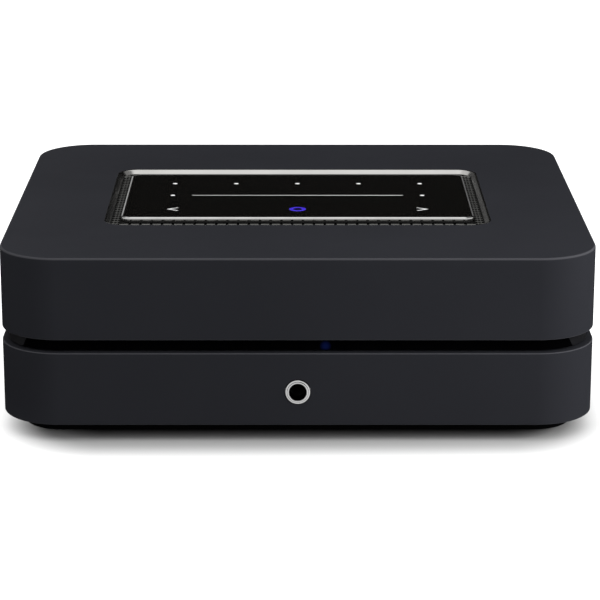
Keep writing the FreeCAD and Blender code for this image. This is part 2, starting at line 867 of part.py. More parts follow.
def touch_ribbon():
    ribbon = Piece("touch_ribbon")
    low = board_top + s.ribbon_socket_height
    ribbon.add("z", low, carrier_top, centred(s.ribbon_width, s.ribbon_thickness, 0, s.ribbon_y))
    socket = Piece("ribbon_socket")
    socket.add("z", board_top, low, centred(s.ribbon_socket_width, s.ribbon_socket_depth, 0, s.ribbon_y))


# Boards and what stands on them

def boards():
    board = Piece("main_board")
    board.add("z", s.board_level, board_top,
              rectangle(main_board_left, main_board_right, main_board_front, main_board_back))
    board.cut("z", s.board_level, board_top,
              *hexagons(s.board_screw_radius + s.screw_clearance, main_screw_places))
    power = Piece("power_board")
    power.add("z", s.board_level, board_top,
              rectangle(power_board_left, power_board_right, power_board_front, power_board_back))
    power.cut("z", s.board_level, board_top,
              *hexagons(s.board_screw_radius + s.screw_clearance, power_screw_places))


def screws():
    long_screws = Piece("casing_screws")
    head_bottom = s.tray_bottom + s.fit
    head_top = head_bottom + s.screw_head_height
    long_screws.add("z", head_bottom, head_top, *hexagons(s.screw_head_radius, pillar_places))
    long_screws.add("z", head_top, s.lower_top + s.screw_bite, *hexagons(s.screw_radius, pillar_places))
    short_screws = Piece("board_screws")
    short_screws.add("z", board_top, board_top + s.board_screw_head_height,
                     *hexagons(s.board_screw_head_radius, board_screw_places))
    short_screws.add("z", s.board_level - s.board_screw_bite + s.screw_clearance, board_top,
                     *hexagons(s.board_screw_radius, board_screw_places))


def front_board():
    board = Piece("front_board")
    back_of_frame = front_face + s.waist_inset + s.band_thickness + s.frame_thickness
    board_front = back_of_frame + s.seat_gap
    surface = s.lower_top + s.front_board_thickness
    board.add("z", s.lower_top, surface,
              rectangle(-s.front_board_width / 2, s.front_board_width / 2, board_front,
                        board_front + s.front_board_depth))
    for name, x, width in (("status_light", s.light_x, s.light_width),
                           ("remote_receiver", s.receiver_x, s.receiver_width)):
        lens = Piece(name)
        lens.add("y", board_front, board_front + s.light_body,
                 rectangle(x - s.light_body / 2, x + s.light_body / 2, surface, s.upper_bottom - s.fit))
        lens.add("y", back_of_frame - s.frame_thickness, board_front,
                 centred(width, s.light_height, x, waist_middle))


def electronics():
    transformer_x = power_board_right - s.transformer_side_margin
    core = Piece("transformer_core", transformer_x, s.transformer_y)
    window = (s.core_width - s.core_yoke * 4) / 2
    leg = s.core_yoke
    core.add("y", -s.core_depth / 2, s.core_depth / 2,
             rectangle(-s.core_width / 2, s.core_width / 2, board_top, board_top + s.core_height))
    core.cut("y", -s.core_depth / 2, s.core_depth / 2,
             *[rectangle(side * leg, side * (leg + window), board_top + leg, board_top + s.core_height - leg)
               for side in (-1, 1)])
    winding = Piece("transformer_winding", transformer_x, s.transformer_y)
    over = s.winding_overhang
    gap = s.winding_gap
    winding.add("z", board_top + leg + gap, board_top + s.core_height - leg - gap,
                centred((leg + window - gap) * 2, s.core_depth + over * 2))
    winding.cut("z", board_top + leg + gap, board_top + s.core_height - leg - gap,
                centred(leg * 2, s.core_depth))
    capacitors = Piece("bulk_capacitors", power_board_right - s.capacitor_side_margin,
                       power_board_front + s.capacitor_front_margin)
    capacitors.add("z", board_top, board_top + s.capacitor_height,
                   circle(s.capacitor_radius), circle(s.capacitor_radius, s.capacitor_pitch))
    choke = Piece("filter_choke", power_board_right - s.choke_side_margin,
                  power_board_back - s.choke_back_margin)
    choke.add("z", board_top, board_top + s.choke_height, centred(s.choke_width, s.choke_width),
              centred(s.choke_width - s.choke_limb * 2, s.choke_width - s.choke_limb * 2))
    chips = Piece("amplifier_chips", heat_sink_x, s.heat_sink_y)
    chips.add("z", board_top, board_top + s.chip_height,
              *[centred(s.chip_size, s.chip_size, 0, side * s.chip_pitch / 2) for side in (-1, 1)])
    sink = Piece("heat_sink", heat_sink_x, s.heat_sink_y)
    sink_bottom = board_top + s.chip_height
    sink_top = sink_bottom + s.heat_sink_height
    sink.add("z", sink_bottom, sink_bottom + s.heat_sink_base, centred(s.heat_sink_width, s.heat_sink_length))
    left = -s.heat_sink_width / 2
    fin = sink.add("z", sink_bottom + s.heat_sink_base, sink_top,
                   rectangle(left, left + s.fin_thickness, -s.heat_sink_length / 2, s.heat_sink_length / 2))
    sink.spread(fin, "x", s.heat_sink_width - s.fin_thickness, s.fin_count)
    inductors = Piece("output_inductors", heat_sink_x, s.inductor_y)
    half = s.inductor_pitch / 2
    inductors.add("z", board_top, board_top + s.inductor_height,
                  *[centred(s.inductor_size, s.inductor_size, x, y) for x, y in corners(half, half)])
    inductors.soften(s.inductor_chamfer, at_level(board_top + s.inductor_height))
    shield = Piece("processor_shield")
    shield.add("z", board_top, board_top + s.shield_height, centred(s.shield_width, s.shield_depth))
    shield.cut("z", board_top, board_top + s.shield_height - s.shield_wall,
               centred(s.shield_width - s.shield_wall * 2, s.shield_depth - s.shield_wall * 2))
    radio = Piece("radio_module", main_board_right - s.radio_side_margin, s.radio_y)
    radio.add("z", board_top, board_top + s.radio_height, centred(s.radio_width, s.radio_depth))
    antennas = Piece("antennas", 0, inner_front + s.antenna_front_margin)
    antennas.add("z", s.lower_top, s.lower_top + s.antenna_thickness,
                 *[centred(s.antenna_width, s.antenna_depth, side * (half_width - s.antenna_side_margin))
                   for side in (-1, 1)])


# Headphone socket: chromed bushing, nut inside the wall, moulded body and contacts

def headphone_socket():
    bushing = Piece("headphone_bushing", 0, front_face, s.jack_z)
    bore = s.jack_bore_radius
    ring = s.jack_ring_radius
    proud = s.jack_ring_proud
    wall = s.shell_wall
    start = wall + s.jack_nut_thickness
    bushing.add("y", -proud, wall, circle(ring))
    bushing.add("y", wall, start, hexagon(s.jack_nut_radius))
    bushing.cut("y", -proud, start, circle(bore))
    jack = Piece("headphone_jack", 0, front_face)
    end = start + s.jack_body_length
    top = s.jack_z + (s.jack_z - board_top)
    half = s.jack_body_width / 2
    jack.add("y", start, end, rectangle(-half, half, board_top, top))
    jack.cut("y", start, end - s.jack_back_wall, circle(bore, 0, s.jack_z))
    contacts = Piece("headphone_contacts", 0, front_face)
    tag = s.contact_width
    for x in (-half / 2 - tag / 2, -tag / 2, half / 2 - tag / 2):
        contacts.add("y", start + tag, end, rectangle(x, x + tag, top, top + s.contact_thickness))


# Rear panel with its cut-outs

def rear_panel():
    panel = Piece("rear_panel")
    low, high = panel_back, inner_back
    bottom, top = tray_top + s.fit, deck_bottom - s.fit
    panel.add("y", low, high, rectangle(-rear_panel_half_width, rear_panel_half_width, bottom, top))
    gap = s.cutout_clearance
    margin = s.terminal_block_margin * 2
    panel.cut("y", low, high, centred(s.terminal_block_width - margin, block_height - margin,
                                      rear_x["terminals"], rear_middle_z))
    panel.cut("y", low, high,
              circle(s.phono_sleeve_radius + gap, rear_x["phono"], s.phono_z),
              circle(s.minijack_nose_radius + gap, rear_x["audio"], s.minijack_z),
              circle(s.minijack_nose_radius + gap, rear_x["remote_eye"], s.minijack_z))
    boxes = (("media", s.media_width, s.media_height), ("tv", s.tv_width, s.tv_height),
             ("network", s.network_width, s.network_height))
    panel.cut("y", low, high,
              centred(s.inlet_body_width + gap, s.inlet_body_height + gap, rear_x["inlet"], rear_middle_z),
              *[rectangle(rear_x[name] - width / 2 - gap, rear_x[name] + width / 2 + gap,
                          board_top, board_top + height + gap) for name, width, height in boxes])


# Speaker terminals: block, studs, clamp washers and fluted screw caps

def terminal_block():
    block = Piece("terminal_block")
    top = inner_back + s.terminal_block_thickness
    plateau = s.terminal_block_margin
    face = half_depth + s.shoulder_reach
    block.add("y", inner_back, top,
              centred(s.terminal_block_width, block_height, rear_x["terminals"], rear_middle_z))
    block.add("y", top, face,
              centred(s.terminal_block_width - plateau, block_height - plateau, rear_x["terminals"],
                      rear_middle_z))
    block.cut("y", inner_back, face, *squares((s.post_radius + s.running_fit) * 2, terminal_places.values()))


def terminal(side, x, z):
    """One binding post, drawn about its own axis from the casing's back plane."""
    tip = s.terminal_reach - s.post_tip_drop
    block_back = inner_back - half_depth
    post = Piece("post_" + side, x, half_depth, z)
    post.add("y", block_back - s.post_nut_thickness, block_back, hexagon(s.post_nut_radius))
    post.add("y", block_back, s.shoulder_reach, centred(s.post_radius * 2, s.post_radius * 2))
    post.add("y", s.shoulder_reach, tip, circle(s.post_radius))
    post.cut("y", tip - s.plug_bore_depth, tip, circle(s.plug_bore_radius))
    wire_hole = s.shoulder_reach + s.seat_gap + s.wire_hole_width / 2
    post.cut("z", -s.post_radius, s.post_radius, centred(s.wire_hole_width, s.wire_hole_width, 0, wire_hole))
    bore = s.post_radius + s.running_fit
    washer_front = s.shoulder_reach + s.seat_gap
    washer_back = washer_front + s.washer_thickness
    washer = Piece("washer_" + side, x, half_depth, z)
    count = int(float(s.flute_count))
    washer.add("y", washer_front, washer_back, fluted(s.washer_radius, as_size(0), count), circle(bore))
    start = washer_back + s.seat_gap
    skirt_end = start + s.cap_collar_length
    cap = Piece("cap_" + side, x, half_depth, z)
    cap.add("y", start, skirt_end, fluted(s.cap_radius - s.cap_collar_inset, as_size(0), count))
    cap.add("y", skirt_end, s.terminal_reach, fluted(s.cap_radius, s.flute_depth, count))
    cap.cut("y", start, s.terminal_reach, circle(bore))


# Small sockets on the main board's back edge

def phono_socket():
    sleeve = Piece("phono_sleeve", rear_x["phono"], inner_back, s.phono_z)
    outer = s.phono_sleeve_radius
    inner = outer - s.phono_sleeve_wall
    sleeve.turn("y", polygon([
        (inner, -s.panel_plate), (outer, -s.panel_plate), (outer, s.phono_reach), (inner, s.phono_reach)]))
    core = Piece("phono_core", rear_x["phono"], inner_back)
    half = s.phono_body_width / 2
    tip = s.phono_reach - s.fit
    core.add("y", -s.panel_plate - s.phono_body_depth, -s.panel_plate,
             rectangle(-half, half, board_top, s.phono_z + half))
    core.add("y", -s.panel_plate, tip, circle(inner - s.screw_clearance, 0, s.phono_z))
    core.cut("y", tip - s.phono_bore_depth, tip, circle(s.phono_bore_radius, 0, s.phono_z))


def minijack_socket(name):
    socket = Piece(name + "_socket", rear_x[name], inner_back)
    half = s.minijack_body_width / 2
    tip = s.socket_inset
    socket.add("y", -s.panel_plate - s.minijack_body_depth, -s.panel_plate,
               rectangle(-half, half, board_top, s.minijack_z + (s.minijack_z - board_top)))
    socket.add("y", -s.panel_plate, tip, circle(s.minijack_nose_radius, 0, s.minijack_z))
    socket.cut("y", tip - s.minijack_bore_depth, tip, circle(s.minijack_bore_radius, 0, s.minijack_z))


def digital_sockets():
    wall = s.socket_wall
    mouth = s.socket_inset
    media = Piece("media_socket", rear_x["media"], inner_back, board_top)
    half = s.media_width / 2
    media.add("y", mouth - s.media_depth, mouth, rectangle(-half, half, 0 * wall, s.media_height))
    media.cut("y", mouth - s.media_depth + s.tongue_root, mouth,
              rectangle(-half + wall, half - wall, wall, s.media_height - wall))
    tv = Piece("tv_socket", rear_x["tv"], inner_back, board_top)
    half = s.tv_width / 2
    narrow = half - s.tv_foot_inset
    step = s.tv_height / 3
    top = s.tv_height

    def shell_outline(inset):
        return polygon([(-narrow + inset, inset), (narrow - inset, inset), (half - inset, step),
                        (half - inset, top - inset), (-half + inset, top - inset), (-half + inset, step)])

    tv.add("y", mouth - s.tv_depth, mouth, shell_outline(as_size(0)))
    tv.cut("y", mouth - s.tv_depth + s.tongue_root, mouth, shell_outline(wall))
    tongues = Piece("socket_tongues", 0, inner_back, board_top)
    media_start = mouth - s.media_depth + s.tongue_root
    media_half = s.media_tongue_width / 2
    media_top = s.media_height - wall * 2
    tongues.add("y", media_start, media_start + s.tongue_length,
                rectangle(rear_x["media"] - media_half, rear_x["media"] + media_half,
                          media_top - s.media_tongue_thickness, media_top))
    tv_start = mouth - s.tv_depth + s.tongue_root
    tv_half = s.tv_tongue_width / 2
    tv_middle = s.tv_height / 2
    tongues.add("y", tv_start, tv_start + s.tongue_length,
                rectangle(rear_x["tv"] - tv_half, rear_x["tv"] + tv_half,
                          tv_middle - s.tv_tongue_thickness / 2, tv_middle + s.tv_tongue_thickness / 2))
    network = Piece("network_socket", rear_x["network"], inner_back, board_top)
    half = s.network_width / 2
    network.add("y", mouth - s.network_depth, mouth, rectangle(-half, half, 0 * wall, s.network_height))
    cavity = s.network_cavity_width / 2
    latch = s.network_latch_width / 2
    floor = s.network_cavity_floor
    network.cut("y", mouth - s.network_cavity_depth, mouth,
                rectangle(-cavity, cavity, floor, floor + s.network_cavity_height))
    network.cut("y", mouth - s.network_cavity_depth, mouth,
                rectangle(-latch, latch, floor - s.network_latch_height, floor))


# Mains inlet: shrouded cavity with cut upper corners and three flat pins

def mains_inlet():
    inlet = Piece("mains_inlet", rear_x["inlet"], inner_back, rear_middle_z)
    flange = s.inlet_flange_thickness
    inlet.add("y", 0 * flange, flange,
              rounded(s.inlet_flange_width / 2, s.inlet_flange_height / 2, s.inlet_flange_corner))
    inlet.add("y", flange - s.inlet_body_depth, 0 * flange,
              centred(s.inlet_body_width, s.inlet_body_height))
    half_x = s.inlet_cavity_width / 2
    half_z = s.inlet_cavity_height / 2
    corner = s.inlet_cavity_chamfer
    floor = flange - s.inlet_cavity_depth
    inlet.cut("y", floor, flange, polygon([
        (-half_x, -half_z), (half_x, -half_z), (half_x, half_z - corner), (half_x - corner, half_z),
        (-half_x + corner, half_z), (-half_x, half_z - corner)]))
    offset = s.pin_row_offset
    blades = [centred(s.pin_width, s.pin_height, x, z)
              for x, z in ((-s.pin_spacing / 2, -offset), (s.pin_spacing / 2, -offset), (as_size(0), offset))]
    inlet.cut("y", flange - s.inlet_body_depth, floor, *blades)
    pins = Piece("mains_pins", rear_x["inlet"], inner_back, rear_middle_z)
    pins.add("y", flange - s.inlet_body_depth - s.pin_tag_length, floor + s.pin_reach, *blades)


def build():
    base_shell()
    base_plate()
    rubber_feet()
    waist_frame()
    waist_band()
    waist_window()
    top_shell()
    recess_trim()
    vent_grille()
    touch_panel()
    touch_ribbon()
    boards()
    screws()
    front_board()
    electronics()
    headphone_socket()
    rear_panel()
    terminal_block()
    for side, (x, z) in terminal_places.items():
        terminal(side, x, z)
    phono_socket()
    minijack_socket("audio")
    minijack_socket("remote_eye")
    digital_sockets()
    mains_inlet()


def write_steps():
    """Checks every object and writes one file per sub-part."""
    document.recompute()
    for thing in document.Objects:
        if "Invalid" in thing.State or "Error" in thing.State:
            raise RuntimeError(thing.Label + " failed: " + str(thing.State))
    for name, thing in pieces.items():
        if thing.Shape.isNull() or not thing.Shape.isValid():
            raise RuntimeError(name + " has no valid shape")
    os.makedirs("parts", exist_ok=True)
    for name, thing in pieces.items():
        thing.Shape.exportStep("parts/" + name + ".step")
    print(len(pieces), "sub-parts written")


build()
write_steps()
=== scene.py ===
"""The looks of a compact streaming amplifier: two casings, touch panel, front and rear sockets.

Every length is in metres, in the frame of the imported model: +Z up, front face towards -Y.
"""
import math

import bpy
import numpy as np
from bpy.props import FloatProperty, FloatVectorProperty, IntProperty, PointerProperty
from mathutils import Matrix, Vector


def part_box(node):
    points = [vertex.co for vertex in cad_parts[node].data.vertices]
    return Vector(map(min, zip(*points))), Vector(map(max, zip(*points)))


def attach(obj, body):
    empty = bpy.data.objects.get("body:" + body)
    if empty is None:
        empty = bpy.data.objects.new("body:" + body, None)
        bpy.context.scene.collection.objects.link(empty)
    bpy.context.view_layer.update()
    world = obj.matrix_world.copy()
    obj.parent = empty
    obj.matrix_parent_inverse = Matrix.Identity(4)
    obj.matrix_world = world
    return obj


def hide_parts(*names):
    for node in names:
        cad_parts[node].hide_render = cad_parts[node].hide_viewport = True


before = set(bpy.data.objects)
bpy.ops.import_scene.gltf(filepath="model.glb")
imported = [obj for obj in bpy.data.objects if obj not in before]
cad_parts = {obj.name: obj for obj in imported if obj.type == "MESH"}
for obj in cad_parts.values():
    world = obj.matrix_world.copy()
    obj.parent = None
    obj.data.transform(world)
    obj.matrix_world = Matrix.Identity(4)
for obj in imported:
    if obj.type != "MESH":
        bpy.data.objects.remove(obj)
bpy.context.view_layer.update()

bl_info = {
    "name": "Streaming amplifier looks",
    "version": (1, 0, 0),
    "blender": (4, 5, 0),
    "location": "View3D > Sidebar > Amplifier",
    "description": "Builds the casings, top grille, touch panel and sockets round the packed model",
    "category": "Object",
}

MM = 0.001
SHARP_ANGLE = math.radians(35)
SIDES = ("left_plus", "left_minus", "right_plus", "right_minus")


def mm(*lengths):
    """Millimetres as metres."""
    return np.array(lengths) * MM


def length_of(name, about, default):
    """A size whose default is in millimetres, kept in metres and shown in the panel as a distance."""
    return FloatProperty(name=name, description=about, default=default * MM, min=0.0, unit="LENGTH",
                         subtype="DISTANCE", precision=5)


def colour_of(name, about, default):
    """A linear colour that shows in the panel as a swatch."""
    return FloatVectorProperty(name=name, description=about, default=default, size=3, min=0.0, max=1.0,
                               subtype="COLOR")


def low(node):
    """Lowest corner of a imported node."""
    return np.array(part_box(node)[0])


def high(node):
    """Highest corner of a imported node."""
    return np.array(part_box(node)[1])


def half(node, axis):
    """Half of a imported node's length along an axis."""
    return float(high(node)[axis] - low(node)[axis]) / 2


def span(node, axis):
    """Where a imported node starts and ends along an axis."""
    return float(low(node)[axis]), float(high(node)[axis])


def middle(node):
    """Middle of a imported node's box."""
    return (low(node) + high(node)) / 2


class CasingSizes(bpy.types.PropertyGroup):
    corner: length_of("Corner radius", "Radius of the four upright corners", 22.4)
    wall: length_of("Wall", "Thickness of the casing walls", 4.0)
    top: length_of("Top", "Thickness of the upper casing's top", 4.2)
    deck: length_of("Deck", "Thickness of the lower casing's top", 2.4)
    deck_margin: length_of("Deck margin", "Width of the deck beside its opening", 12.0)
    deck_front_margin: length_of("Deck front margin", "Depth of the deck before its opening", 23.0)
    deck_corner: length_of("Deck corner", "Corner radius of the deck's opening", 6.0)
    top_edge: length_of("Top edge", "Rounding of the top edge", 0.9)
    waist_edge: length_of("Waist edge", "Rounding of the edges beside the waist", 0.45)
    waist_relief: length_of("Waist relief", "How far the lower casing stops under the waist", 0.7)
    foot_edge: length_of("Foot edge", "Rounding of the lower casing's bottom edge", 0.3)
    window_head: length_of("Window head", "How far the rear panel reaches over and under its window", 0.4)
    window_lap: length_of("Window lap", "How far the rear panel reaches past the sides of its window", 2.0)
    jack_gap: length_of("Socket gap", "Gap round the headphone socket's ring", 0.3)


class TopSizes(bpy.types.PropertyGroup):
    recess_corner: length_of("Recess corner", "Corner radius of the top recess", 8.0)
    ledge: length_of("Ledge", "Width of the ledge that carries the grille", 4.0)
    bevel: length_of("Bevel", "Width of the bevelled trim", 2.2)
    lip: length_of("Lip", "Flat at the bevel's top", 0.45)
    roll: length_of("Bevel rounding", "Rounding between the bevel and its lip", 1.2)
    panel_corner: length_of("Panel corner", "Corner radius of the touch panel", 4.0)
    bezel: length_of("Bezel", "Width of the metal frame round the glass", 0.8)
    bezel_foot: length_of("Bezel foot", "Upright part of the metal frame", 0.63)
    bezel_chamfer: length_of("Bezel chamfer", "Height of the chamfer on the metal frame", 0.33)
    bezel_slope: length_of("Bezel slope", "How far the metal frame leans in", 0.7)
    slot_length: length_of("Slot length", "Length of a slot beside the panel", 2.0)
    slot_width: length_of("Slot width", "Width of a slot beside the panel", 1.04)
    slot_pitch: length_of("Slot pitch", "Step along the rows before and behind the panel", 4.15)
    side_pitch: length_of("Side slot pitch", "Step along the columns beside the panel", 2.9)
    front_slot: length_of("Front slot length", "Length of a slot before or behind the panel", 4.2)
    front_shift: length_of("Front slot shift", "How far the row lies nearer the panel than mid-strip", 1.3)
    front_width: length_of("Front slot width", "Width of a slot before or behind the panel", 1.0)
    column_pitch: length_of("Column pitch", "Step between the columns beside the panel", 1.2)
    icon_height: length_of("Icon height", "How far the printed icons stand on the glass", 0.02)
    dot: length_of("Dot", "Diameter of a preset dot", 1.85)
    dot_step: length_of("Dot step", "Distance between preset dots", 24.8)
    slider: length_of("Slider", "Length of the volume line", 83.8)
    slider_width: length_of("Slider width", "Width of the volume line", 0.5)
    chevron: length_of("Chevron", "Height of a chevron", 5.0)
    chevron_out: length_of("Chevron place", "How far a chevron lies from the middle", 48.6)
    front_row: length_of("Front row", "How far chevrons and ring lie before the middle", 22.7)
    middle_row: length_of("Middle row", "How far the volume line lies before the middle", 0.1)
    back_row: length_of("Back row", "How far the preset dots lie behind the middle", 19.9)
    ring_outer: length_of("Ring", "Outer diameter of the play ring", 6.6)
    ring_inner: length_of("Ring bore", "Inner diameter of the play ring", 3.5)


class SocketSizes(bpy.types.PropertyGroup):
    jack_bore: length_of("Headphone bore", "Radius of the headphone socket's bore", 3.2)
    jack_ring: length_of("Headphone ring", "Radius of the headphone socket's ring", 4.55)
    jack_flange: length_of("Headphone flange", "Width of the flange behind the ring", 0.3)
    jack_rim: length_of("Headphone rim", "Length of the ring before its flange", 0.35)
    post: length_of("Post", "Radius of a terminal post", 2.8)
    plug_bore: length_of("Plug bore", "Radius of the bore in a terminal post", 2.0)
    plug_depth: length_of("Plug depth", "Depth of the bore in a terminal post", 10.4)
    washer: length_of("Washer", "Radius of a clamp washer", 4.6)
    cap: length_of("Cap", "Radius of a screw cap", 5.5)
    cap_collar: length_of("Cap collar", "Length of a screw cap's smooth collar", 1.4)
    cap_step: length_of("Cap step", "How far the collar lies inside the cap's radius", 0.8)
    running_gap: length_of("Running gap", "Gap between a post and its washer and cap", 0.15)
    post_nut: length_of("Post nut", "Radius of the nut behind a terminal post", 3.8)
    flute: length_of("Flute", "Depth of the flutes round a screw cap", 0.7)
    flutes: IntProperty(name="Flutes", description="Number of ridges round a screw cap", default=10, min=4)
    phono: length_of("Phono sleeve", "Radius of the phono socket's sleeve", 4.15)
    phono_wall: length_of("Phono wall", "Thickness of the phono socket's sleeve", 0.6)


class Colours(bpy.types.PropertyGroup):
    casing: colour_of("Casing", "Moulded casing", (0.0172, 0.0178, 0.0212))
    trim: colour_of("Trim", "Bevel round the top recess", (0.48, 0.475, 0.46))
    bezel: colour_of("Bezel", "Metal frame round the glass", (0.5, 0.5, 0.49))
    glass: colour_of("Glass", "Back-printed touch glass", (0.0024, 0.0022, 0.0018))
    icon: colour_of("Icons", "Printed icons", (0.66, 0.66, 0.66))
    ring: colour_of("Ring", "Play ring", (0.03, 0.012, 0.36))
    lamp: colour_of("Status lamp", "Glow of the lamp behind the waist window", (0.0016, 0.004, 0.029))
    chrome: colour_of("Chrome", "Headphone socket's ring", (0.34, 0.34, 0.34))
    gold: colour_of("Gold", "Gold-plated terminals", (0.80, 0.56, 0.24))
    red: colour_of("Red cap", "Positive terminals' caps", (0.42, 0.015, 0.012))


class StageSettings(bpy.types.PropertyGroup):
    floor: colour_of("Floor", "Floor and backdrop", (0.36, 0.36, 0.36))
    # fade, narrower and shift shape the floor's painted shadow
    fade: length_of("Fade", "Width of the shadow's fade round the part", 29.0)
    narrower: length_of("Narrower", "How far the shadow's sides lie inside the part's", 13.0)
    shift: length_of("Shift", "How far the shadow lies to the right", 3.0)
    overhead: FloatProperty(name="Overhead lamp", description="Power of the softbox over the part",
                            default=6.2, min=0.0, unit="POWER")
    strip: FloatProperty(name="Strip lamp", description="Power of the strip that only gloss shows",
                         default=0.52, min=0.0, unit="POWER")
    side: FloatProperty(name="Side lamp", description="Power of the softbox at the front right",
                        default=1.25, min=0.0, unit="POWER")
    lens: FloatProperty(name="Lens", description="Focal length for a 36 mm sensor, in millimetres",
                        default=145.44, min=1.0)


# Surfaces

def arcs(corners, radii, steps=7, margin=0.0):
    """Closed outline with every corner turned into an arc.

    The arc at a corner starts radius * tan(turn / 2) before it. Its centre lies one radius to the inner
    side of that start, and its points are the first spoke turned by equal parts of the corner's turn.
    With a margin, each arc gets one more point that far along the straight on either side of it, or
    0.4 of the straight where that is shorter.
    """
    corners = np.asarray(corners, float)
    radii = np.broadcast_to(np.asarray(radii, float), len(corners))
    ahead = np.roll(corners, -1, axis=0) - corners
    length = np.linalg.norm(ahead, axis=1)
    ahead /= length[:, None]
    behind = np.roll(ahead, 1, axis=0)
    turn = np.arctan2(behind[:, 0] * ahead[:, 1] - behind[:, 1] * ahead[:, 0], (behind * ahead).sum(axis=1))
    cut = radii * np.tan(np.abs(turn) / 2)
    start = corners - behind * cut[:, None]
    inward = np.stack([-behind[:, 1], behind[:, 0]], axis=1) * np.sign(turn)[:, None]
    centre = start + inward * radii[:, None]
    angle = turn[:, None] * np.linspace(0.0, 1.0, steps)
    spoke = -inward[:, None, :]
    turned = np.stack([spoke[..., 0] * np.cos(angle) - spoke[..., 1] * np.sin(angle),
                       spoke[..., 0] * np.sin(angle) + spoke[..., 1] * np.cos(angle)], axis=-1)
    bent = centre[:, None, :] + turned * radii[:, None, None]
    if margin:
        straight = np.minimum(margin, 0.4 * (length - cut - np.roll(cut, -1)))
        before = bent[:, :1] - (behind * np.roll(straight, 1)[:, None])[:, None]
        after = bent[:, -1:] + (ahead * straight[:, None])[:, None]
        bent = np.concatenate([before, bent, after], axis=1)
    return bent.reshape(-1, 2)


def rounded_loops(half_x, half_y, corner, steps=14):
    """Rounded rectangles, one row for each set of half sides and corner radius.

    A point is the middle of its corner's arc, (half side - radius) out on each axis, plus the radius
    times (cos a, sin a), with the angle a going once round over the four corners.
    """
    half_x, half_y, corner = (np.asarray(v, float)[:, None, None] for v in (half_x, half_y, corner))
    quarter = np.arange(4)[:, None]
    angle = (quarter + np.linspace(0.0, 1.0, steps)) * math.pi / 2
    sign_x = np.array([1, -1, -1, 1])[:, None]
    sign_y = np.array([1, 1, -1, -1])[:, None]
    x = sign_x * (half_x - corner) + corner * np.cos(angle)
    y = sign_y * (half_y - corner) + corner * np.sin(angle)
    return np.stack([x, y], axis=-1).reshape(x.shape[0], -1, 2)


def skin(rows, around=True):
    """Points, quads and end faces of a grid whose columns close into a ring.

    With around, the last row joins the first, as on a hoop. Otherwise a flat face closes each end.
    """
    count, width = rows.shape[:2]
    index = np.arange(count * width).reshape(count, width)
    upper = np.roll(index, -1, axis=0)
    ends = [] if around else [index[0, ::-1], index[-1]]
    if not around:
        index, upper = index[:-1], upper[:-1]
    quads = np.stack([index, np.roll(index, -1, axis=1), np.roll(upper, -1, axis=1), upper], axis=-1)
    return rows.reshape(-1, 3), quads.reshape(-1, 4), ends


def outward(shell):
    """A closed shell with its faces turned outwards.

    Its volume is the sum of a . (b x c) / 6 over its triangles, and where that is negative the faces
    are inside out and every one is reversed.
    """
    points, quads, ends = shell
    fans = [quads[:, :3], quads[:, [0, 2, 3]]]
    fans += [np.stack([np.full(len(end) - 2, end[0]), end[1:-1], end[2:]], axis=1) for end in ends]
    a, b, c = np.moveaxis(points[np.concatenate(fans)], 1, 0)
    if (a * np.cross(b, c)).sum() > 0:
        return shell
    return points, quads[:, ::-1], [end[::-1] for end in ends]


def piece(name, *shells, flat=False):
    """One mesh object from closed shells of (points, quads, end faces)."""
    points, corners, sizes, start = [], [], [], 0
    for vertices, quads, ends in map(outward, shells):
        points.append(vertices)
        corners += [face.ravel() + start for face in (quads, *ends)]
        sizes += [np.full(len(quads), 4), [len(end) for end in ends]]
        start += len(vertices)
    corners, sizes = np.concatenate(corners), np.concatenate(sizes).astype(int)
    mesh = bpy.data.meshes.new(name)
    mesh.vertices.add(start)
    mesh.vertices.foreach_set("co", np.concatenate(points).ravel())
    mesh.loops.add(len(corners))
    mesh.loops.foreach_set("vertex_index", corners)
    mesh.polygons.add(len(sizes))
    mesh.polygons.foreach_set("loop_start", np.cumsum(sizes) - sizes)
    mesh.update(calc_edges=True)
    mesh.validate()
    thing = bpy.data.objects.new(name, mesh)
    bpy.context.scene.collection.objects.link(thing)
    if not flat:
        smooth(thing)
    return thing


def smooth(thing):
    """Smooth shading that keeps sharp edges sharp and flat faces flat."""
    thing.data.shade_smooth()
    thing.data.set_sharp_from_angle(angle=SHARP_ANGLE)
    weighted = thing.modifiers.new("Flat faces stay flat", "WEIGHTED_NORMAL")
    weighted.keep_sharp = True


def hoop(profile, sizes, centre, steps=14):
    """A ring with a rounded-rectangle plan.

    The profile is (distance of the side from the middle, height). The other half side and the corner
    radius at each point are read off the table of sizes by how far out the point lies.
    """
    profile = np.asarray(profile, float)
    out, across, corner = np.asarray(sizes, float).T
    loops = rounded_loops(profile[:, 0], np.interp(profile[:, 0], out, across),
                          np.interp(profile[:, 0], out, corner), steps)
    level = np.broadcast_to(profile[:, 1][:, None, None], loops.shape[:2] + (1,))
    return np.concatenate([loops + np.asarray(centre[:2], float), level], axis=-1)


def slab(half_x, half_y, corner, bottom, top, edge, centre, steps=10):
    """A rounded-rectangle plate whose top and bottom edges are quarter circles of one radius."""
    angle = np.linspace(0.0, math.pi / 2, 6)
    inset = edge * (1 - np.cos(angle))
    rise = edge * np.sin(angle)
    drop = np.concatenate([inset[::-1], inset])
    level = np.concatenate([bottom + edge - rise[::-1], top - edge + rise])
    loops = rounded_loops(half_x - drop, half_y - drop, np.maximum(corner - drop, edge / 8), steps)
    z = np.broadcast_to(level[:, None, None], loops.shape[:2] + (1,))
    return np.concatenate([loops + np.asarray(centre[:2], float), z], axis=-1)


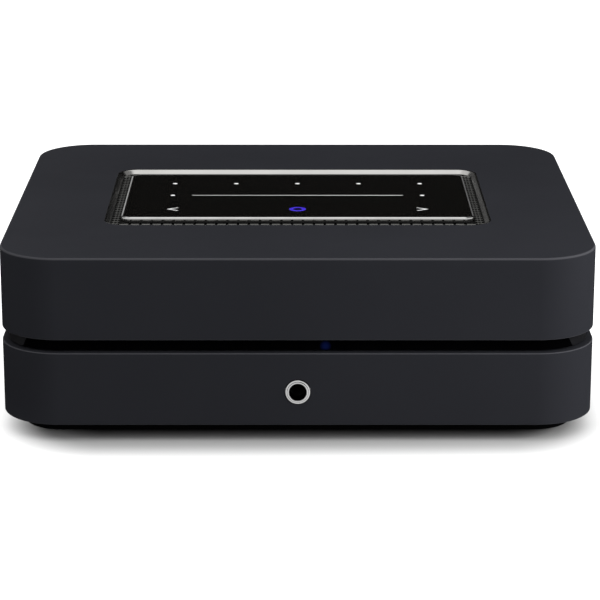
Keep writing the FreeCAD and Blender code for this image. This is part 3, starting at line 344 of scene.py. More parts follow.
def turned(profile, centre, axis, sides=64, wave=None):
    """A profile of (radius, distance along the axis) carried once round the axis.

    A wave takes off each radius the profile's third value, its depth, times the wave's value there.
    """
    profile = np.asarray(profile, float)
    angle = np.linspace(0.0, 2 * math.pi, sides, endpoint=False)
    radius = profile[:, 0][:, None] * np.ones(sides)
    if wave is not None:
        radius = radius - profile[:, 2][:, None] * wave(angle)
    along = profile[:, 1][:, None] * np.ones(sides)
    flat = (radius * np.cos(angle), radius * np.sin(angle))
    order = {"y": (flat[0], along, flat[1]), "z": (flat[0], flat[1], along)}[axis]
    return np.stack(order, axis=-1) + np.asarray(centre, float)


def prism(outline, level, rise, axis="z"):
    """A flat outline of (x, y), or (x, z) for axis y, drawn straight from one level to another."""
    outline = np.asarray(outline, float)
    ends = []
    for value in (level, rise):
        third = np.full(len(outline), value)
        parts = [outline[:, 0], outline[:, 1]]
        parts.insert(2 if axis == "z" else 1, third)
        ends.append(np.stack(parts, axis=-1))
    return skin(np.stack(ends), around=False)


def circle(x, y, radius, sides=32):
    """Points at equal angles round a middle: the radius times the angle's cosine and sine."""
    angle = np.linspace(0.0, 2 * math.pi, sides, endpoint=False)
    return np.stack([x + radius * np.cos(angle), y + radius * np.sin(angle)], axis=-1)


def spaced(length, pitch):
    """Even steps of one pitch about zero, as many as fit a length."""
    count = int(length / pitch)
    return (np.arange(count) - (count - 1) / 2) * pitch


def box_outline(x, y, half_x, half_y, corner, steps=5):
    """One rounded rectangle about a middle."""
    return rounded_loops([half_x], [half_y], [corner], steps)[0] + np.array([x, y])


def carve(thing, *cutters):
    """Takes closed shells out of a piece, and leaves the result in the piece's own mesh."""
    tool = piece("cutter", *cutters, flat=True)
    thing.modifiers.clear()
    cut = thing.modifiers.new("cut", "BOOLEAN")
    cut.operation = "DIFFERENCE"
    cut.solver = "EXACT"
    cut.object = tool
    view = bpy.context.evaluated_depsgraph_get()
    mesh = bpy.data.meshes.new_from_object(thing.evaluated_get(view))
    if len(mesh.polygons) <= len(thing.data.polygons):
        raise RuntimeError(thing.name + ": nothing was cut")
    thing.modifiers.clear()
    thing.data = mesh
    bpy.data.objects.remove(tool)
    smooth(thing)
    return thing


# Finishes

def rgba(value):
    """A colour with an alpha of one. Another node's output is passed on as it is."""
    return value if isinstance(value, bpy.types.NodeSocket) else (*value, 1.0)


class Finish:
    """A procedural material on object coordinates, put together a node at a time."""

    def __init__(self, name, roughness=0.5, metallic=0.0, specular=0.5):
        self.material = bpy.data.materials.new(name)
        self.material.use_nodes = True
        self.tree = self.material.node_tree
        self.shader = self.tree.nodes["Principled BSDF"]
        for socket, value in (("Roughness", roughness), ("Metallic", metallic),
                              ("Specular IOR Level", specular)):
            self.shader.inputs[socket].default_value = value
        self.roughness = roughness
        self.place = self.node("ShaderNodeTexCoord").outputs["Object"]
        self.bumped = None

    def node(self, kind, **values):
        """A new shader node with some of its settings changed."""
        made = self.tree.nodes.new(kind)
        for key, value in values.items():
            setattr(made, key, value)
        return made

    def feed(self, socket, value):
        """Sets a socket, or links it where the value is another node's output."""
        if isinstance(value, bpy.types.NodeSocket):
            self.tree.links.new(value, socket)
        else:
            socket.default_value = value

    def maths(self, operation, *values, kind="Math"):
        """Arithmetic on numbers, or on points with the kind VectorMath."""
        step = self.node("ShaderNode" + kind, operation=operation)
        for socket, value in zip(step.inputs, values):
            self.feed(socket, value)
        single = kind == "Math" or operation in ("LENGTH", "DISTANCE")
        return step.outputs["Value" if single else "Vector"]

    def axis(self, source, name):
        """One axis of a point or direction."""
        parts = self.node("ShaderNodeSeparateXYZ")
        self.feed(parts.inputs[0], source)
        return parts.outputs[name]

    def facing(self, name):
        """How far the surface's normal points along an axis, from -1 to 1."""
        return self.axis(self.node("ShaderNodeNewGeometry").outputs["Normal"], name)

    def noise(self, scale, detail=3.0, stretch=(1, 1, 1)):
        """Noise whose cells are one unit divided by the scale, longer where the stretch is small."""
        mapping = self.node("ShaderNodeMapping")
        mapping.inputs["Scale"].default_value = stretch
        self.feed(mapping.inputs["Vector"], self.place)
        noise = self.node("ShaderNodeTexNoise")
        noise.inputs["Scale"].default_value = scale
        noise.inputs["Detail"].default_value = detail
        self.feed(noise.inputs["Vector"], mapping.outputs["Vector"])
        return noise.outputs["Fac"]

    def pattern(self, kind, output, scale, **values):
        """One of Blender's regular textures, laid on the object's own coordinates."""
        texture = self.node("ShaderNodeTex" + kind, **values)
        texture.inputs["Scale"].default_value = scale
        self.feed(texture.inputs["Vector"], self.place)
        return texture.outputs[output]

    def spread(self, source, first, last, start=0.3, end=0.7, curve="LINEAR"):
        """Maps start..end of a value onto first..last."""
        ramp = self.node("ShaderNodeMapRange", interpolation_type=curve)
        for name, value in (("From Min", start), ("From Max", end), ("To Min", first), ("To Max", last),
                            ("Value", source)):
            self.feed(ramp.inputs[name], value)
        return ramp.outputs["Result"]

    def mix(self, share, first, second):
        """Blend of two colours, each a plain colour or another node's output."""
        mix = self.node("ShaderNodeMix", data_type="RGBA")
        for name, value in (("Factor", share), ("A", rgba(first)), ("B", rgba(second))):
            self.feed(mix.inputs[name], value)
        return mix.outputs["Result"]

    def colour(self, source):
        """Base colour, plain or from another node."""
        self.feed(self.shader.inputs["Base Color"], rgba(source))
        return self

    def glow(self, colour, strength):
        """Light that the surface gives off. The strength may be another node's output."""
        self.feed(self.shader.inputs["Emission Color"], rgba(colour))
        self.feed(self.shader.inputs["Emission Strength"], strength)
        return self

    def mottled(self, colour, scale=40.0, amount=0.12, stretch=(1, 1, 1)):
        """The colour, a little darker and lighter in soft patches."""
        base = np.array(colour[:3])
        share = self.spread(self.noise(scale, 4.0, stretch), 0.0, 1.0)
        return self.colour(self.mix(share, base * (1 - amount), np.minimum(base * (1 + amount), 1.0)))

    def worn_and_highlit(self, edge, share=0.5):
        """Rounded edges rub lighter and carry a painted highlight: where the normal is neither upright nor
        level.
        """
        upright = self.maths("ABSOLUTE", self.facing("Z"))
        both = self.maths("MULTIPLY", self.spread(upright, 0.0, share, 0.1, 0.35),
                          self.spread(upright, 1.0, 0.0, 0.85, 0.99))
        source = self.shader.inputs["Base Color"].links[0].from_socket
        return self.colour(self.mix(both, source, edge))

    def uneven(self, scale=90.0, amount=0.06, stretch=(1, 1, 1)):
        """Roughness that wanders by an amount either side of its own value."""
        source = self.noise(scale, 3.0, stretch)
        self.feed(self.shader.inputs["Roughness"],
                  self.spread(source, self.roughness - amount, self.roughness + amount))
        return self

    def bump(self, height, strength=0.2, distance=0.00005):
        """Relief from a height value, laid over any relief before it."""
        bump = self.node("ShaderNodeBump")
        bump.inputs["Strength"].default_value = strength
        bump.inputs["Distance"].default_value = distance
        self.feed(bump.inputs["Height"], height)
        if self.bumped is not None:
            self.feed(bump.inputs["Normal"], self.bumped)
        self.bumped = bump.outputs["Normal"]
        self.feed(self.shader.inputs["Normal"], self.bumped)
        return self

    def grain(self, scale=2600.0, strength=0.25, distance=0.00003, stretch=(1, 1, 1)):
        """Fine relief from noise."""
        return self.bump(self.noise(scale, 2.0, stretch), strength, distance)


def moulded(name, colour, roughness=0.55, specular=0.3, grain=0.2, scale=2400.0):
    """Moulded plastic: soft patches of tone, a fine spark-eroded grain and uneven gloss."""
    plastic = Finish(name, roughness, 0.0, specular).mottled(colour, 30.0, 0.1)
    return plastic.uneven(60.0, 0.05).grain(scale, grain)


def plated(name, colour, roughness=0.25, stretch=(1, 1, 1), brush=0.1):
    """Plated metal: faint stains, brushing along the stretch and uneven polish."""
    metal = Finish(name, roughness, 1.0).mottled(colour, 160.0, 0.08)
    return metal.uneven(220.0, 0.06, stretch).grain(900.0, brush, 0.00002, stretch)


def window_finish(tone):
    """Glossy black window drawn with no reflection and a near-black tone as painted shade in the waist gap,
    and with a painted round glow of the status light behind it.

    The glow is full inside its core and gone at its rim, and its middle drops a little under the lamp's.
    """
    core, rim, drop = mm(0.6, 2.2, 1.0)
    # Near-black with no reflection: painted shade in the waist gap
    window = Finish("waist window", 0.25, 0.0, 0.0).mottled((0.0006, 0.0006, 0.0008), 60.0, 0.3)
    lamp = middle("status_light") - (0, 0, drop)
    lamp[1] = low("waist_window")[1]
    away = window.maths("DISTANCE", window.place, lamp, kind="VectorMath")
    window.glow(tone, window.spread(away, 1.0, 0.0, core, rim))
    return window.uneven(150.0, 0.03).grain(180.0, 0.02, 0.00002)


def grille_finish(bevel):
    """Punched sheet with painted shade: dark on its cut walls as shade inside the slots, a painted shadow
    next to the panel and painted shade under the bevel's sides and back.

    Away from the panel's edge the painted shadow stays dark as far as the first distance, and the sheet has
    a share of its own tone from the second on. Towards the bevel the painted shade darkens it by a share
    between two distances.
    """
    # cut is painted shade on the slot walls; shade is the tone of the painted shadow beside the panel and
    # the painted shade under the bevel
    cut, shade = (0.008, 0.008, 0.008), (0.002, 0.002, 0.002)
    beside, before = (*mm(0.2, 0.9), 0.62), (*mm(2.1, 2.6), 1.0)
    sides, back, share = mm(0.75, 0.35), mm(4.0, 1.5), 0.85
    grille = Finish("punched sheet", 0.5, 0.0, 0.1)
    patches = grille.spread(grille.noise(90.0), 0.0, 1.0)
    sheet = grille.mix(patches, (0.072, 0.072, 0.069), (0.09, 0.09, 0.086))
    sheet = grille.mix(grille.spread(grille.facing("Z"), 0.0, 1.0, 0.6, 0.9), cut, sheet)
    offset = grille.maths("SUBTRACT", grille.place, middle("touch_bezel"), kind="VectorMath")
    offset = grille.maths("ABSOLUTE", offset, kind="VectorMath")
    # Painted shadow of the panel: the sheet is dark next to its edge
    lit = []
    for axis, (near, far, full) in enumerate((beside, before)):
        edge = half("touch_bezel", axis)
        lit.append(grille.spread(grille.axis(offset, "XY"[axis]), 0.0, full, edge + near, edge + far))
    sheet = grille.mix(grille.maths("MAXIMUM", *lit), shade, sheet)
    # Painted shade under the bevel's sides and back
    rim, rear = half("recess_trim", 0) - bevel, span("recess_trim", 1)[1] - bevel
    for source, end, (near, far) in ((grille.axis(offset, "X"), rim, sides),
                                     (grille.axis(grille.place, "Y"), rear, back)):
        sheet = grille.mix(grille.spread(source, 0.0, share, end - near, end - far), sheet, shade)
    return grille.colour(sheet).uneven(200.0, 0.08).grain(2200.0, 0.2)


def finishes():
    """Every finish of the part by name."""
    tint = bpy.context.scene.amplifier_colours
    casing = Finish("casing soft black", 0.48, 0.0, 0.02).mottled(tint.casing, 14.0, 0.06)
    # The lighter edges are partly wear and partly a painted highlight on the roundings
    casing.worn_and_highlit((0.06, 0.06, 0.066), 0.6).uneven(35.0, 0.03)
    casing.grain(3000.0, 0.16, 0.00002).grain(700.0, 0.05, 0.00002)
    made = {"casing": casing, "window": window_finish(tint.lamp),
            "grille": grille_finish(bpy.context.scene.amplifier_top.bevel)}
    for key, *values in (
            # The tray's near-black tone is its black moulding darkened further as painted shade under the
            # casing
            ("tray", "tray moulding", (0.0015, 0.0015, 0.0016), 0.8, 0.02),
            ("frame", "inner moulding", (0.016, 0.016, 0.016), 0.6),
            ("band", "waist band", (0.006, 0.006, 0.007), 0.45, 0.15, 0.1),
            ("red", "red cap", tint.red, 0.28, 0.45, 0.06),
            ("black_cap", "black cap", (0.014, 0.014, 0.014), 0.28, 0.45, 0.06),
            ("socket", "socket moulding", (0.012, 0.012, 0.013), 0.45, 0.35, 0.15),
            ("dark_lens", "infrared filter", (0.02, 0.004, 0.006), 0.15, 0.5, 0.03),
            ("sleeve", "shrink sleeve", (0.012, 0.012, 0.02), 0.3, 0.5, 0.05),
            ("chip", "chip moulding", (0.018, 0.018, 0.019), 0.55, 0.4, 0.4, 1800.0)):
        made[key] = moulded(*values)
    for key, *values in (
            ("bezel", "polished frame", tint.bezel, 0.16, (1, 1, 10), 0.02),
            ("chrome", "socket chrome", tint.chrome, 0.12, (1, 14, 1), 0.03),
            ("contact", "nickel contact", (0.62, 0.60, 0.55), 0.28),
            ("gold", "gold plating", tint.gold, 0.2, (1, 16, 1), 0.05),
            ("shield", "tinned shell", (0.60, 0.60, 0.58), 0.34, (1, 8, 1), 0.12),
            ("steel", "zinc-plated steel", (0.56, 0.56, 0.55), 0.32),
            ("black_steel", "blackened steel", (0.05, 0.05, 0.052), 0.4),
            ("sink", "extruded fins", (0.55, 0.55, 0.55), 0.38, (40, 1, 1), 0.25)):
        made[key] = plated(*values)

    trim = Finish("satin bevel", 0.2, 1.0).mottled(tint.trim, 60.0, 0.05)
    made["trim"] = trim.uneven(60.0, 0.03, (1, 1, 12)).grain(1600.0, 0.02, 0.00001, (1, 1, 20))
    rubber = Finish("foot rubber", 0.85, 0.0, 0.25).mottled((0.022, 0.022, 0.022), 70.0, 0.2)
    made["rubber"] = rubber.uneven(120.0, 0.06).grain(1500.0, 0.5, 0.00005)
    plate = Finish("rear plate paint", 0.5, 0.0, 0.35).mottled((0.016, 0.016, 0.017), 50.0, 0.15)
    made["plate"] = plate.uneven(90.0, 0.06).grain(1400.0, 0.45, 0.00004)
    ferrite = Finish("ferrite", 0.7, 0.0, 0.4).mottled((0.03, 0.03, 0.032), 250.0, 0.3)
    made["ferrite"] = ferrite.uneven(300.0, 0.08).grain(900.0, 0.6, 0.00006)
    glass = Finish("touch glass", 0.08, 0.0, 0.4).mottled(tint.glass, 9.0, 0.06)
    made["glass"] = glass.uneven(22.0, 0.03).grain(60.0, 0.008, 0.00002)
    icon = Finish("icon print", 0.5, 0.0, 0.2).mottled(tint.icon, 900.0, 0.05)
    made["icon"] = icon.glow((0.9, 0.9, 0.9), 0.1)
    ring = Finish("play ring light", 0.4, 0.0, 0.2).mottled(tint.ring, 700.0, 0.05)
    made["ring"] = ring.glow((0.02, 0.008, 0.6), 0.25)
    for key in ("icon", "ring"):
        made[key].uneven(600.0, 0.05).grain(5000.0, 0.1, 0.00001)
    lens = Finish("blue light pipe", 0.2, 0.0, 0.4).mottled((0.02, 0.03, 0.5), 300.0, 0.1)
    made["lens"] = lens.glow((0.01, 0.03, 1.0), 0.6).uneven(300.0, 0.05).grain(800.0, 0.05)

    board = Finish("solder mask", 0.35)
    tracks = board.pattern("Voronoi", "Distance", 260.0, feature="DISTANCE_TO_EDGE", distance="MANHATTAN")
    lanes = board.spread(tracks, 1.0, 0.0, 0.05, 0.09)
    board.colour(board.mix(lanes, (0.004, 0.07, 0.03), (0.015, 0.16, 0.06)))
    made["board"] = board.uneven(150.0, 0.05).bump(lanes, 0.4, 0.00003)
    tape = Finish("winding tape", 0.45, 0.0, 0.4)
    turns = tape.pattern("Wave", "Fac", 160.0, bands_direction="Z")
    turns.node.inputs["Distortion"].default_value = 0.4
    tape.colour(tape.mix(turns, (0.55, 0.42, 0.04), (0.72, 0.58, 0.09)))
    made["tape"] = tape.uneven(120.0, 0.05).bump(turns, 0.3, 0.00005)
    film = Finish("polyimide film", 0.3)
    lines = film.pattern("Wave", "Fac", 420.0, bands_direction="X", wave_profile="SIN")
    film.colour(film.mix(lines, (0.36, 0.13, 0.02), (0.55, 0.22, 0.05)))
    made["film"] = film.uneven(200.0, 0.05).bump(lines, 0.2, 0.00002)
    return {key: value.material for key, value in made.items()}


def dress(thing, finish, slot, *nodes, body="casing"):
    """Gives a piece its finish, the body it rides on and the nodes that it stands for. Its slot is not
    used.
    """
    thing.data.materials.clear()
    thing.data.materials.append(FINISHES[finish])
    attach(thing, body)
    if nodes:
        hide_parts(*nodes)
    return thing


FINISHES = {}
NODE_FINISH = {
    "base_plate": "tray", "waist_frame": "frame", "waist_band": "band", "waist_window": "window",
    "touch_carrier": "frame", "touch_sensor": "board", "touch_ribbon": "film", "ribbon_socket": "socket",
    "main_board": "board", "power_board": "board", "board_screws": "steel", "casing_screws": "black_steel",
    "front_board": "board", "status_light": "lens", "remote_receiver": "dark_lens",
    "transformer_core": "ferrite", "transformer_winding": "tape", "bulk_capacitors": "sleeve",
    "filter_choke": "ferrite", "amplifier_chips": "chip", "heat_sink": "sink",
    "output_inductors": "ferrite", "processor_shield": "shield", "radio_module": "shield",
    "antennas": "board", "headphone_jack": "socket", "headphone_contacts": "contact",
    "rear_panel": "plate", "terminal_block": "socket",
    "phono_core": "socket", "audio_socket": "socket", "remote_eye_socket": "socket",
    "media_socket": "shield", "tv_socket": "shield", "socket_tongues": "socket",
    "network_socket": "socket", "mains_inlet": "socket", "mains_pins": "contact",
}


class AMPLIFIER_OT_finishes(bpy.types.Operator):
    """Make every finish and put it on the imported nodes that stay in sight"""
    bl_idname = "amplifier.finishes"
    bl_label = "Finishes"

    def execute(self, context):
        FINISHES.update(finishes())
        for node, finish in NODE_FINISH.items():
            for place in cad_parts[node].material_slots:
                place.material = FINISHES[finish]
        return {"FINISHED"}


class AMPLIFIER_OT_casings(bpy.types.Operator):
    """Build the upper and lower casings with their rounded edges and openings"""
    bl_idname = "amplifier.casings"
    bl_label = "Casings"

    def execute(self, context):
        size, top_size = context.scene.amplifier_casing, context.scene.amplifier_top
        side, depth = half("top_shell", 0), half("top_shell", 1)
        centre = middle("top_shell")
        crisp, flat_margin = mm(0.08, 0.7)
        inner = side - size.wall
        outer_sizes = [(inner, depth - size.wall, size.corner - size.wall), (side, depth, size.corner)]

        upper, crown = span("waist_band", 2)[1], span("top_shell", 2)[1]
        recess, recess_depth = half("recess_trim", 0), half("recess_trim", 1)
        ledge, ledge_level = recess - top_size.ledge, span("vent_grille", 2)[0]
        ceiling = crown - size.top
        profile = arcs([(side, upper), (side, crown), (recess, crown), (recess, ledge_level),
                        (ledge, ledge_level), (ledge, ceiling), (inner, ceiling), (inner, upper)],
                       [size.waist_edge, size.top_edge] + [crisp] * 6, margin=flat_margin)
        sizes = [(ledge, recess_depth - top_size.ledge, top_size.recess_corner - top_size.ledge / 2),
                 (recess, recess_depth, top_size.recess_corner)]
        top = piece("upper_casing", skin(hoop(profile, sizes + outer_sizes, centre, steps=24)))
        dress(top, "casing", "casing", "top_shell")

        sill, lower = span("base_shell", 2)
        lower -= size.waist_relief
        opening, deck = side - size.deck_margin, lower - size.deck
        profile = arcs([(side, sill), (side, lower), (opening, lower), (opening, deck), (inner, deck),
                        (inner, sill)], [size.foot_edge, size.waist_edge] + [crisp] * 4, margin=flat_margin)
        sizes = [(opening, depth - size.deck_front_margin, size.deck_corner)]
        base = piece("lower_casing", skin(hoop(profile, sizes + outer_sizes, centre, steps=24)))
        jack = middle("headphone_bushing")
        front, back = span("base_shell", 1)
        reach = size.wall * 1.2
        radius = context.scene.amplifier_sockets.jack_ring + size.jack_gap
        hole = prism(circle(jack[0], jack[2], radius, sides=48), front - MM, front + reach, "y")
        floor, head = span("rear_panel", 2)
        outline = box_outline(0, (floor + head) / 2, half("rear_panel", 0) - size.window_lap,
                              (head - floor) / 2 - size.window_head, MM)
        window = prism(outline, back - reach, back + MM, "y")
        carve(base, hole, window)
        dress(base, "casing", "casing", "base_shell")
        if span("base_plate", 2)[0] > sill:
            raise RuntimeError("the tray doesn't reach under the lower casing")
        return {"FINISHED"}


class AMPLIFIER_OT_recess(bpy.types.Operator):
    """Build the bevelled trim and the perforated sheet in the top recess"""
    bl_idname = "amplifier.recess"
    bl_label = "Recess and grille"

    def execute(self, context):
        size = context.scene.amplifier_top
        side, depth = half("recess_trim", 0), half("recess_trim", 1)
        foot, crown = span("recess_trim", 2)
        centre = middle("recess_trim")
        open_x, open_y = side - size.bevel, depth - size.bevel
        corner = size.recess_corner - size.bevel
        crisp, sheet_gap, sheet_edge, past = mm(0.06, 0.2, 0.03, 1.0)
        profile = arcs([(side, foot), (side, crown), (side - size.lip, crown), (open_x, foot)],
                       [crisp, crisp, size.roll, crisp], steps=8)
        sizes = [(open_x, open_y, corner), (side, depth, size.recess_corner)]
        trim = piece("recess_bevel", skin(hoop(profile, sizes, centre, steps=20)))
        dress(trim, "trim", "trim", "recess_trim")

        bottom, top = span("vent_grille", 2)
        plate = slab(half("vent_grille", 0), half("vent_grille", 1), size.recess_corner - sheet_gap,
                     bottom, top, sheet_edge, centre)
        grille = piece("grille", skin(plate, around=False))
        cutters = []
        for x, y, half_x, half_y in self.slots(size, open_x, open_y, corner):
            outline = box_outline(centre[0] + x, centre[1] + y, half_x, half_y, half_x * 0.98, steps=4)
            cutters.append(prism(outline, bottom - past, top + past))
        dress(carve(grille, *cutters), "grille", "grille", "vent_grille")
        return {"FINISHED"}

    def slots(self, size, open_x, open_y, corner):
        """Middle and half sides of every slot.

        One row lies before and one behind the panel. Three columns lie on either side of it, and each
        column ends where its slots would meet the round corner of the opening.
        """
        panel_x, panel_y = half("touch_bezel", 0), half("touch_bezel", 1)
        row = (open_y + panel_y) / 2 - size.front_shift
        places = [(x, sign * row, size.front_width / 2, size.front_slot / 2)
                  for x in spaced(2 * open_x, size.slot_pitch) for sign in (-1, 1) if abs(x) < panel_x]
        column = (open_x + panel_x) / 2
        for step in (-1, 0, 1):
            across = column + step * size.column_pitch
            reach = max(0.0, across + size.slot_width / 2 - (open_x - corner))
            limit = open_y - corner + np.sqrt(corner ** 2 - reach ** 2) - size.slot_length / 2
            places += [(sign * across, y, size.slot_width / 2, size.slot_length / 2)
                       for y in spaced(2 * open_y, size.side_pitch) for sign in (-1, 1) if abs(y) < limit]
        return places


class AMPLIFIER_OT_panel(bpy.types.Operator):
    """Build the touch panel: metal frame, glass, printed icons and play ring"""
    bl_idname = "amplifier.panel"
    bl_label = "Touch panel"

    def execute(self, context):
        size = context.scene.amplifier_top
        side, depth = half("touch_bezel", 0), half("touch_bezel", 1)
        foot, crown = span("touch_bezel", 2)
        centre = middle("touch_bezel")
        inner = side - size.bezel
        lean, crisp, glass_edge = mm(0.1, 0.03, 0.12)
        profile = arcs([(side, foot), (side, foot + size.bezel_foot),
                        (side - lean, crown - size.bezel_chamfer), (side - size.bezel_slope, crown),
                        (inner, crown), (inner, foot)], crisp, steps=4, margin=0.1 * MM)
        sizes = [(inner, depth - size.bezel, size.panel_corner - size.bezel),
                 (side, depth, size.panel_corner)]
        bezel = piece("panel_frame", skin(hoop(profile, sizes, centre, steps=20)))
        dress(bezel, "bezel", "bezel", "touch_bezel")

        bottom, top = span("touch_glass", 2)
        gap = side - half("touch_glass", 0)
        plate = slab(side - gap, depth - gap, size.panel_corner - gap, bottom, top, glass_edge, centre,
                     steps=16)
        dress(piece("panel_glass", skin(plate, around=False)), "glass", "panel_glass", "touch_glass")

        rise = top + size.icon_height
        x0, y0 = centre[0], centre[1]
        front_row, middle_row, back_row = y0 - size.front_row, y0 - size.middle_row, y0 + size.back_row
        dots = [(step, back_row) for step in (-2, -1, 0, 1, 2)] + [(step, middle_row) for step in (-2, 2)]
        shells = [prism(circle(x0 + step * size.dot_step, y, size.dot / 2), top, rise) for step, y in dots]
        line = box_outline(x0, middle_row, size.slider / 2, size.slider_width / 2, size.slider_width / 2.1)
        shells.append(prism(line, top, rise))
        tall, wide, stroke = size.chevron / 2, size.chevron * 0.94 / 2, size.chevron * 0.1
        arm = np.array([(-wide + stroke, tall), (-wide, tall - stroke * 0.7)])
        arrow = np.concatenate([[(wide, 0)], arm, [(wide - stroke * 2.6, 0)], arm[::-1] * (1, -1)])
        shells += [prism(arrow * (sign, 1) + (x0 + sign * size.chevron_out, front_row), top, rise)
                   for sign in (-1, 1)]
        dress(piece("panel_icons", *shells, flat=True), "icon", "panel_glass")

        outer, bore = size.ring_outer / 2, size.ring_inner / 2
        ring = turned([(bore, top), (outer, top), (outer, rise), (bore, rise)], (x0, front_row, 0), "z",
                      sides=48)
        dress(piece("play_ring", skin(ring), flat=True), "ring", "panel_glass")
        return {"FINISHED"}


def six_sided(angle):
    """How far a hexagon lies inside the circle through its corners, as a share of the radius.

    A side lies cos 30 degrees out, divided by the cosine of the angle from the side's middle.
    """
    third, sixth = math.pi / 3, math.pi / 6
    return 1 - math.cos(sixth) / np.cos((angle + sixth) % third - sixth)


class AMPLIFIER_OT_headphone(bpy.types.Operator):
    """Build the headphone socket's chrome ring and nut"""
    bl_idname = "amplifier.headphone"
    bl_label = "Headphone socket"

    def execute(self, context):
        size = context.scene.amplifier_sockets
        x, z = middle("headphone_bushing")[0], middle("headphone_bushing")[2]
        tip, end = span("headphone_bushing", 1)
        nut = span("base_shell", 1)[0] + context.scene.amplifier_casing.wall
        bore, ring = size.jack_bore, size.jack_ring
        rim, groove = ring - size.jack_flange, ring - 2 * size.jack_flange
        shelf = tip + size.jack_rim
        profile = arcs([(bore, tip), (rim, tip), (groove, shelf), (ring, shelf), (ring, nut), (bore, nut)],
                       mm(0.3, 0.25, 0.03, 0.12, 0.05, 0.05), steps=8)
        outer = half("headphone_bushing", 0)
        nut_profile = [(bore, nut, 0.0), (outer, nut, outer), (outer, end, outer), (bore, end, 0.0)]
        shells = [skin(turned(profile, (x, 0, z), "y", sides=96)),
                  skin(turned(nut_profile, (x, 0, z), "y", sides=96, wave=six_sided))]
        dress(piece("headphone_ring", *shells), "chrome", "chrome", "headphone_bushing")
        return {"FINISHED"}


class AMPLIFIER_OT_feet(bpy.types.Operator):
    """Build the four rubber feet with a shallow dish underneath"""
    bl_idname = "amplifier.feet"
    bl_label = "Feet"

    def execute(self, context):
        first, last = low("rubber_feet"), high("rubber_feet")
        radius, dish, height = 9.0 * MM, 0.35 * MM, float(last[2])
        core_radius, dish_radius, rim_radius = 0.4 * radius, 0.72 * radius, 0.76 * radius
        profile = arcs([(core_radius, dish), (dish_radius, dish), (rim_radius, 0.0),
                        (radius, 0.0), (radius, height), (core_radius, height)],
                       mm(0.2, 0.2, 0.1, 0.7, 0.1, 0.1), steps=6)
        core = turned([(core_radius, dish), (core_radius, height)], (0, 0, 0), "z")
        shells = []
        for x in (first[0] + radius, last[0] - radius):
            for y in (first[1] + radius, last[1] - radius):
                shells += [skin(turned(profile, (x, y, 0), "z")), skin(core + np.array([x, y, 0]), False)]
        dress(piece("feet", *shells), "rubber", "rubber", "rubber_feet")
        return {"FINISHED"}


class AMPLIFIER_OT_terminals(bpy.types.Operator):
    """Build the four binding posts: gold posts and washers under fluted screw caps"""
    bl_idname = "amplifier.terminals"
    bl_label = "Binding posts"

    def execute(self, context):
        size = context.scene.amplifier_sockets
        for side in SIDES:
            centre = middle("cap_" + side) * (1, 0, 1)
            self.cap(size, side, centre)
            self.washer(size, side, centre)
            self.post(size, side, centre)
        return {"FINISHED"}

    def cap(self, size, side, centre):
        """Screw cap: a smooth collar, then flutes as deep as the 0.6th power of a raised cosine."""
        name = "cap_" + side
        start, end = span(name, 1)
        bore, radius = size.post + size.running_gap, size.cap
        collar = radius - size.cap_step
        step = start + size.cap_collar
        corners = [(bore, start), (collar, start), (collar, step), (radius, step), (radius, end),
                   (bore, end)]
        profile = arcs(corners, mm(0.05, 0.15, 0.1, 0.4, 0.8, 0.3), steps=6)
        depth = np.where(profile[:, 0] > collar + 0.05 * MM, size.flute, 0.0)
        depth = depth * np.clip((profile[:, 0] - collar) / (radius - collar), 0, 1)
        flutes = turned(np.column_stack([profile, depth]), centre, "y", sides=size.flutes * 12,
                        wave=lambda a: (0.5 - 0.5 * np.cos(size.flutes * a + math.pi / 2)) ** 0.6)
        colour, slot = ("red", "cap_red") if side.endswith("plus") else ("black_cap", "cap_black")
        dress(piece(name + "_grip", skin(flutes)), colour, slot, name, body=side + "_cap")

    def washer(self, size, side, centre):
        """Clamp washer with rounded edges."""
        name = "washer_" + side
        start, end = span(name, 1)
        bore = size.post + size.running_gap
        profile = arcs([(bore, start), (size.washer, start), (size.washer, end), (bore, end)],
                       0.2 * MM, steps=5)
        disc = piece(name + "_disc", skin(turned(profile, centre, "y")))
        dress(disc, "gold", "terminal_metal", name, body=side + "_washer")

    def post(self, size, side, centre):
        """Post with its plug bore, a solid root behind the bore and a nut inside the casing."""
        name = "post_" + side
        start, end = span(name, 1)
        floor = end - size.plug_depth
        profile = arcs([(size.plug_bore, floor), (size.plug_bore, end), (size.post, end),
                        (size.post, start), (size.plug_bore, start)],
                       mm(0.02, 0.25, 0.25, 0.2, 0.02), steps=5)
        root = turned([(size.plug_bore, start), (size.plug_bore, floor)], centre, "y")
        nut_end = span("terminal_block", 1)[0]
        nut = turned([(size.post, start), (size.post_nut, start), (size.post_nut, nut_end),
                      (size.post, nut_end)], centre, "y", sides=6)
        stud = piece(name + "_stud", skin(turned(profile, centre, "y")), skin(root, False), skin(nut))
        dress(stud, "gold", "terminal_metal", name)


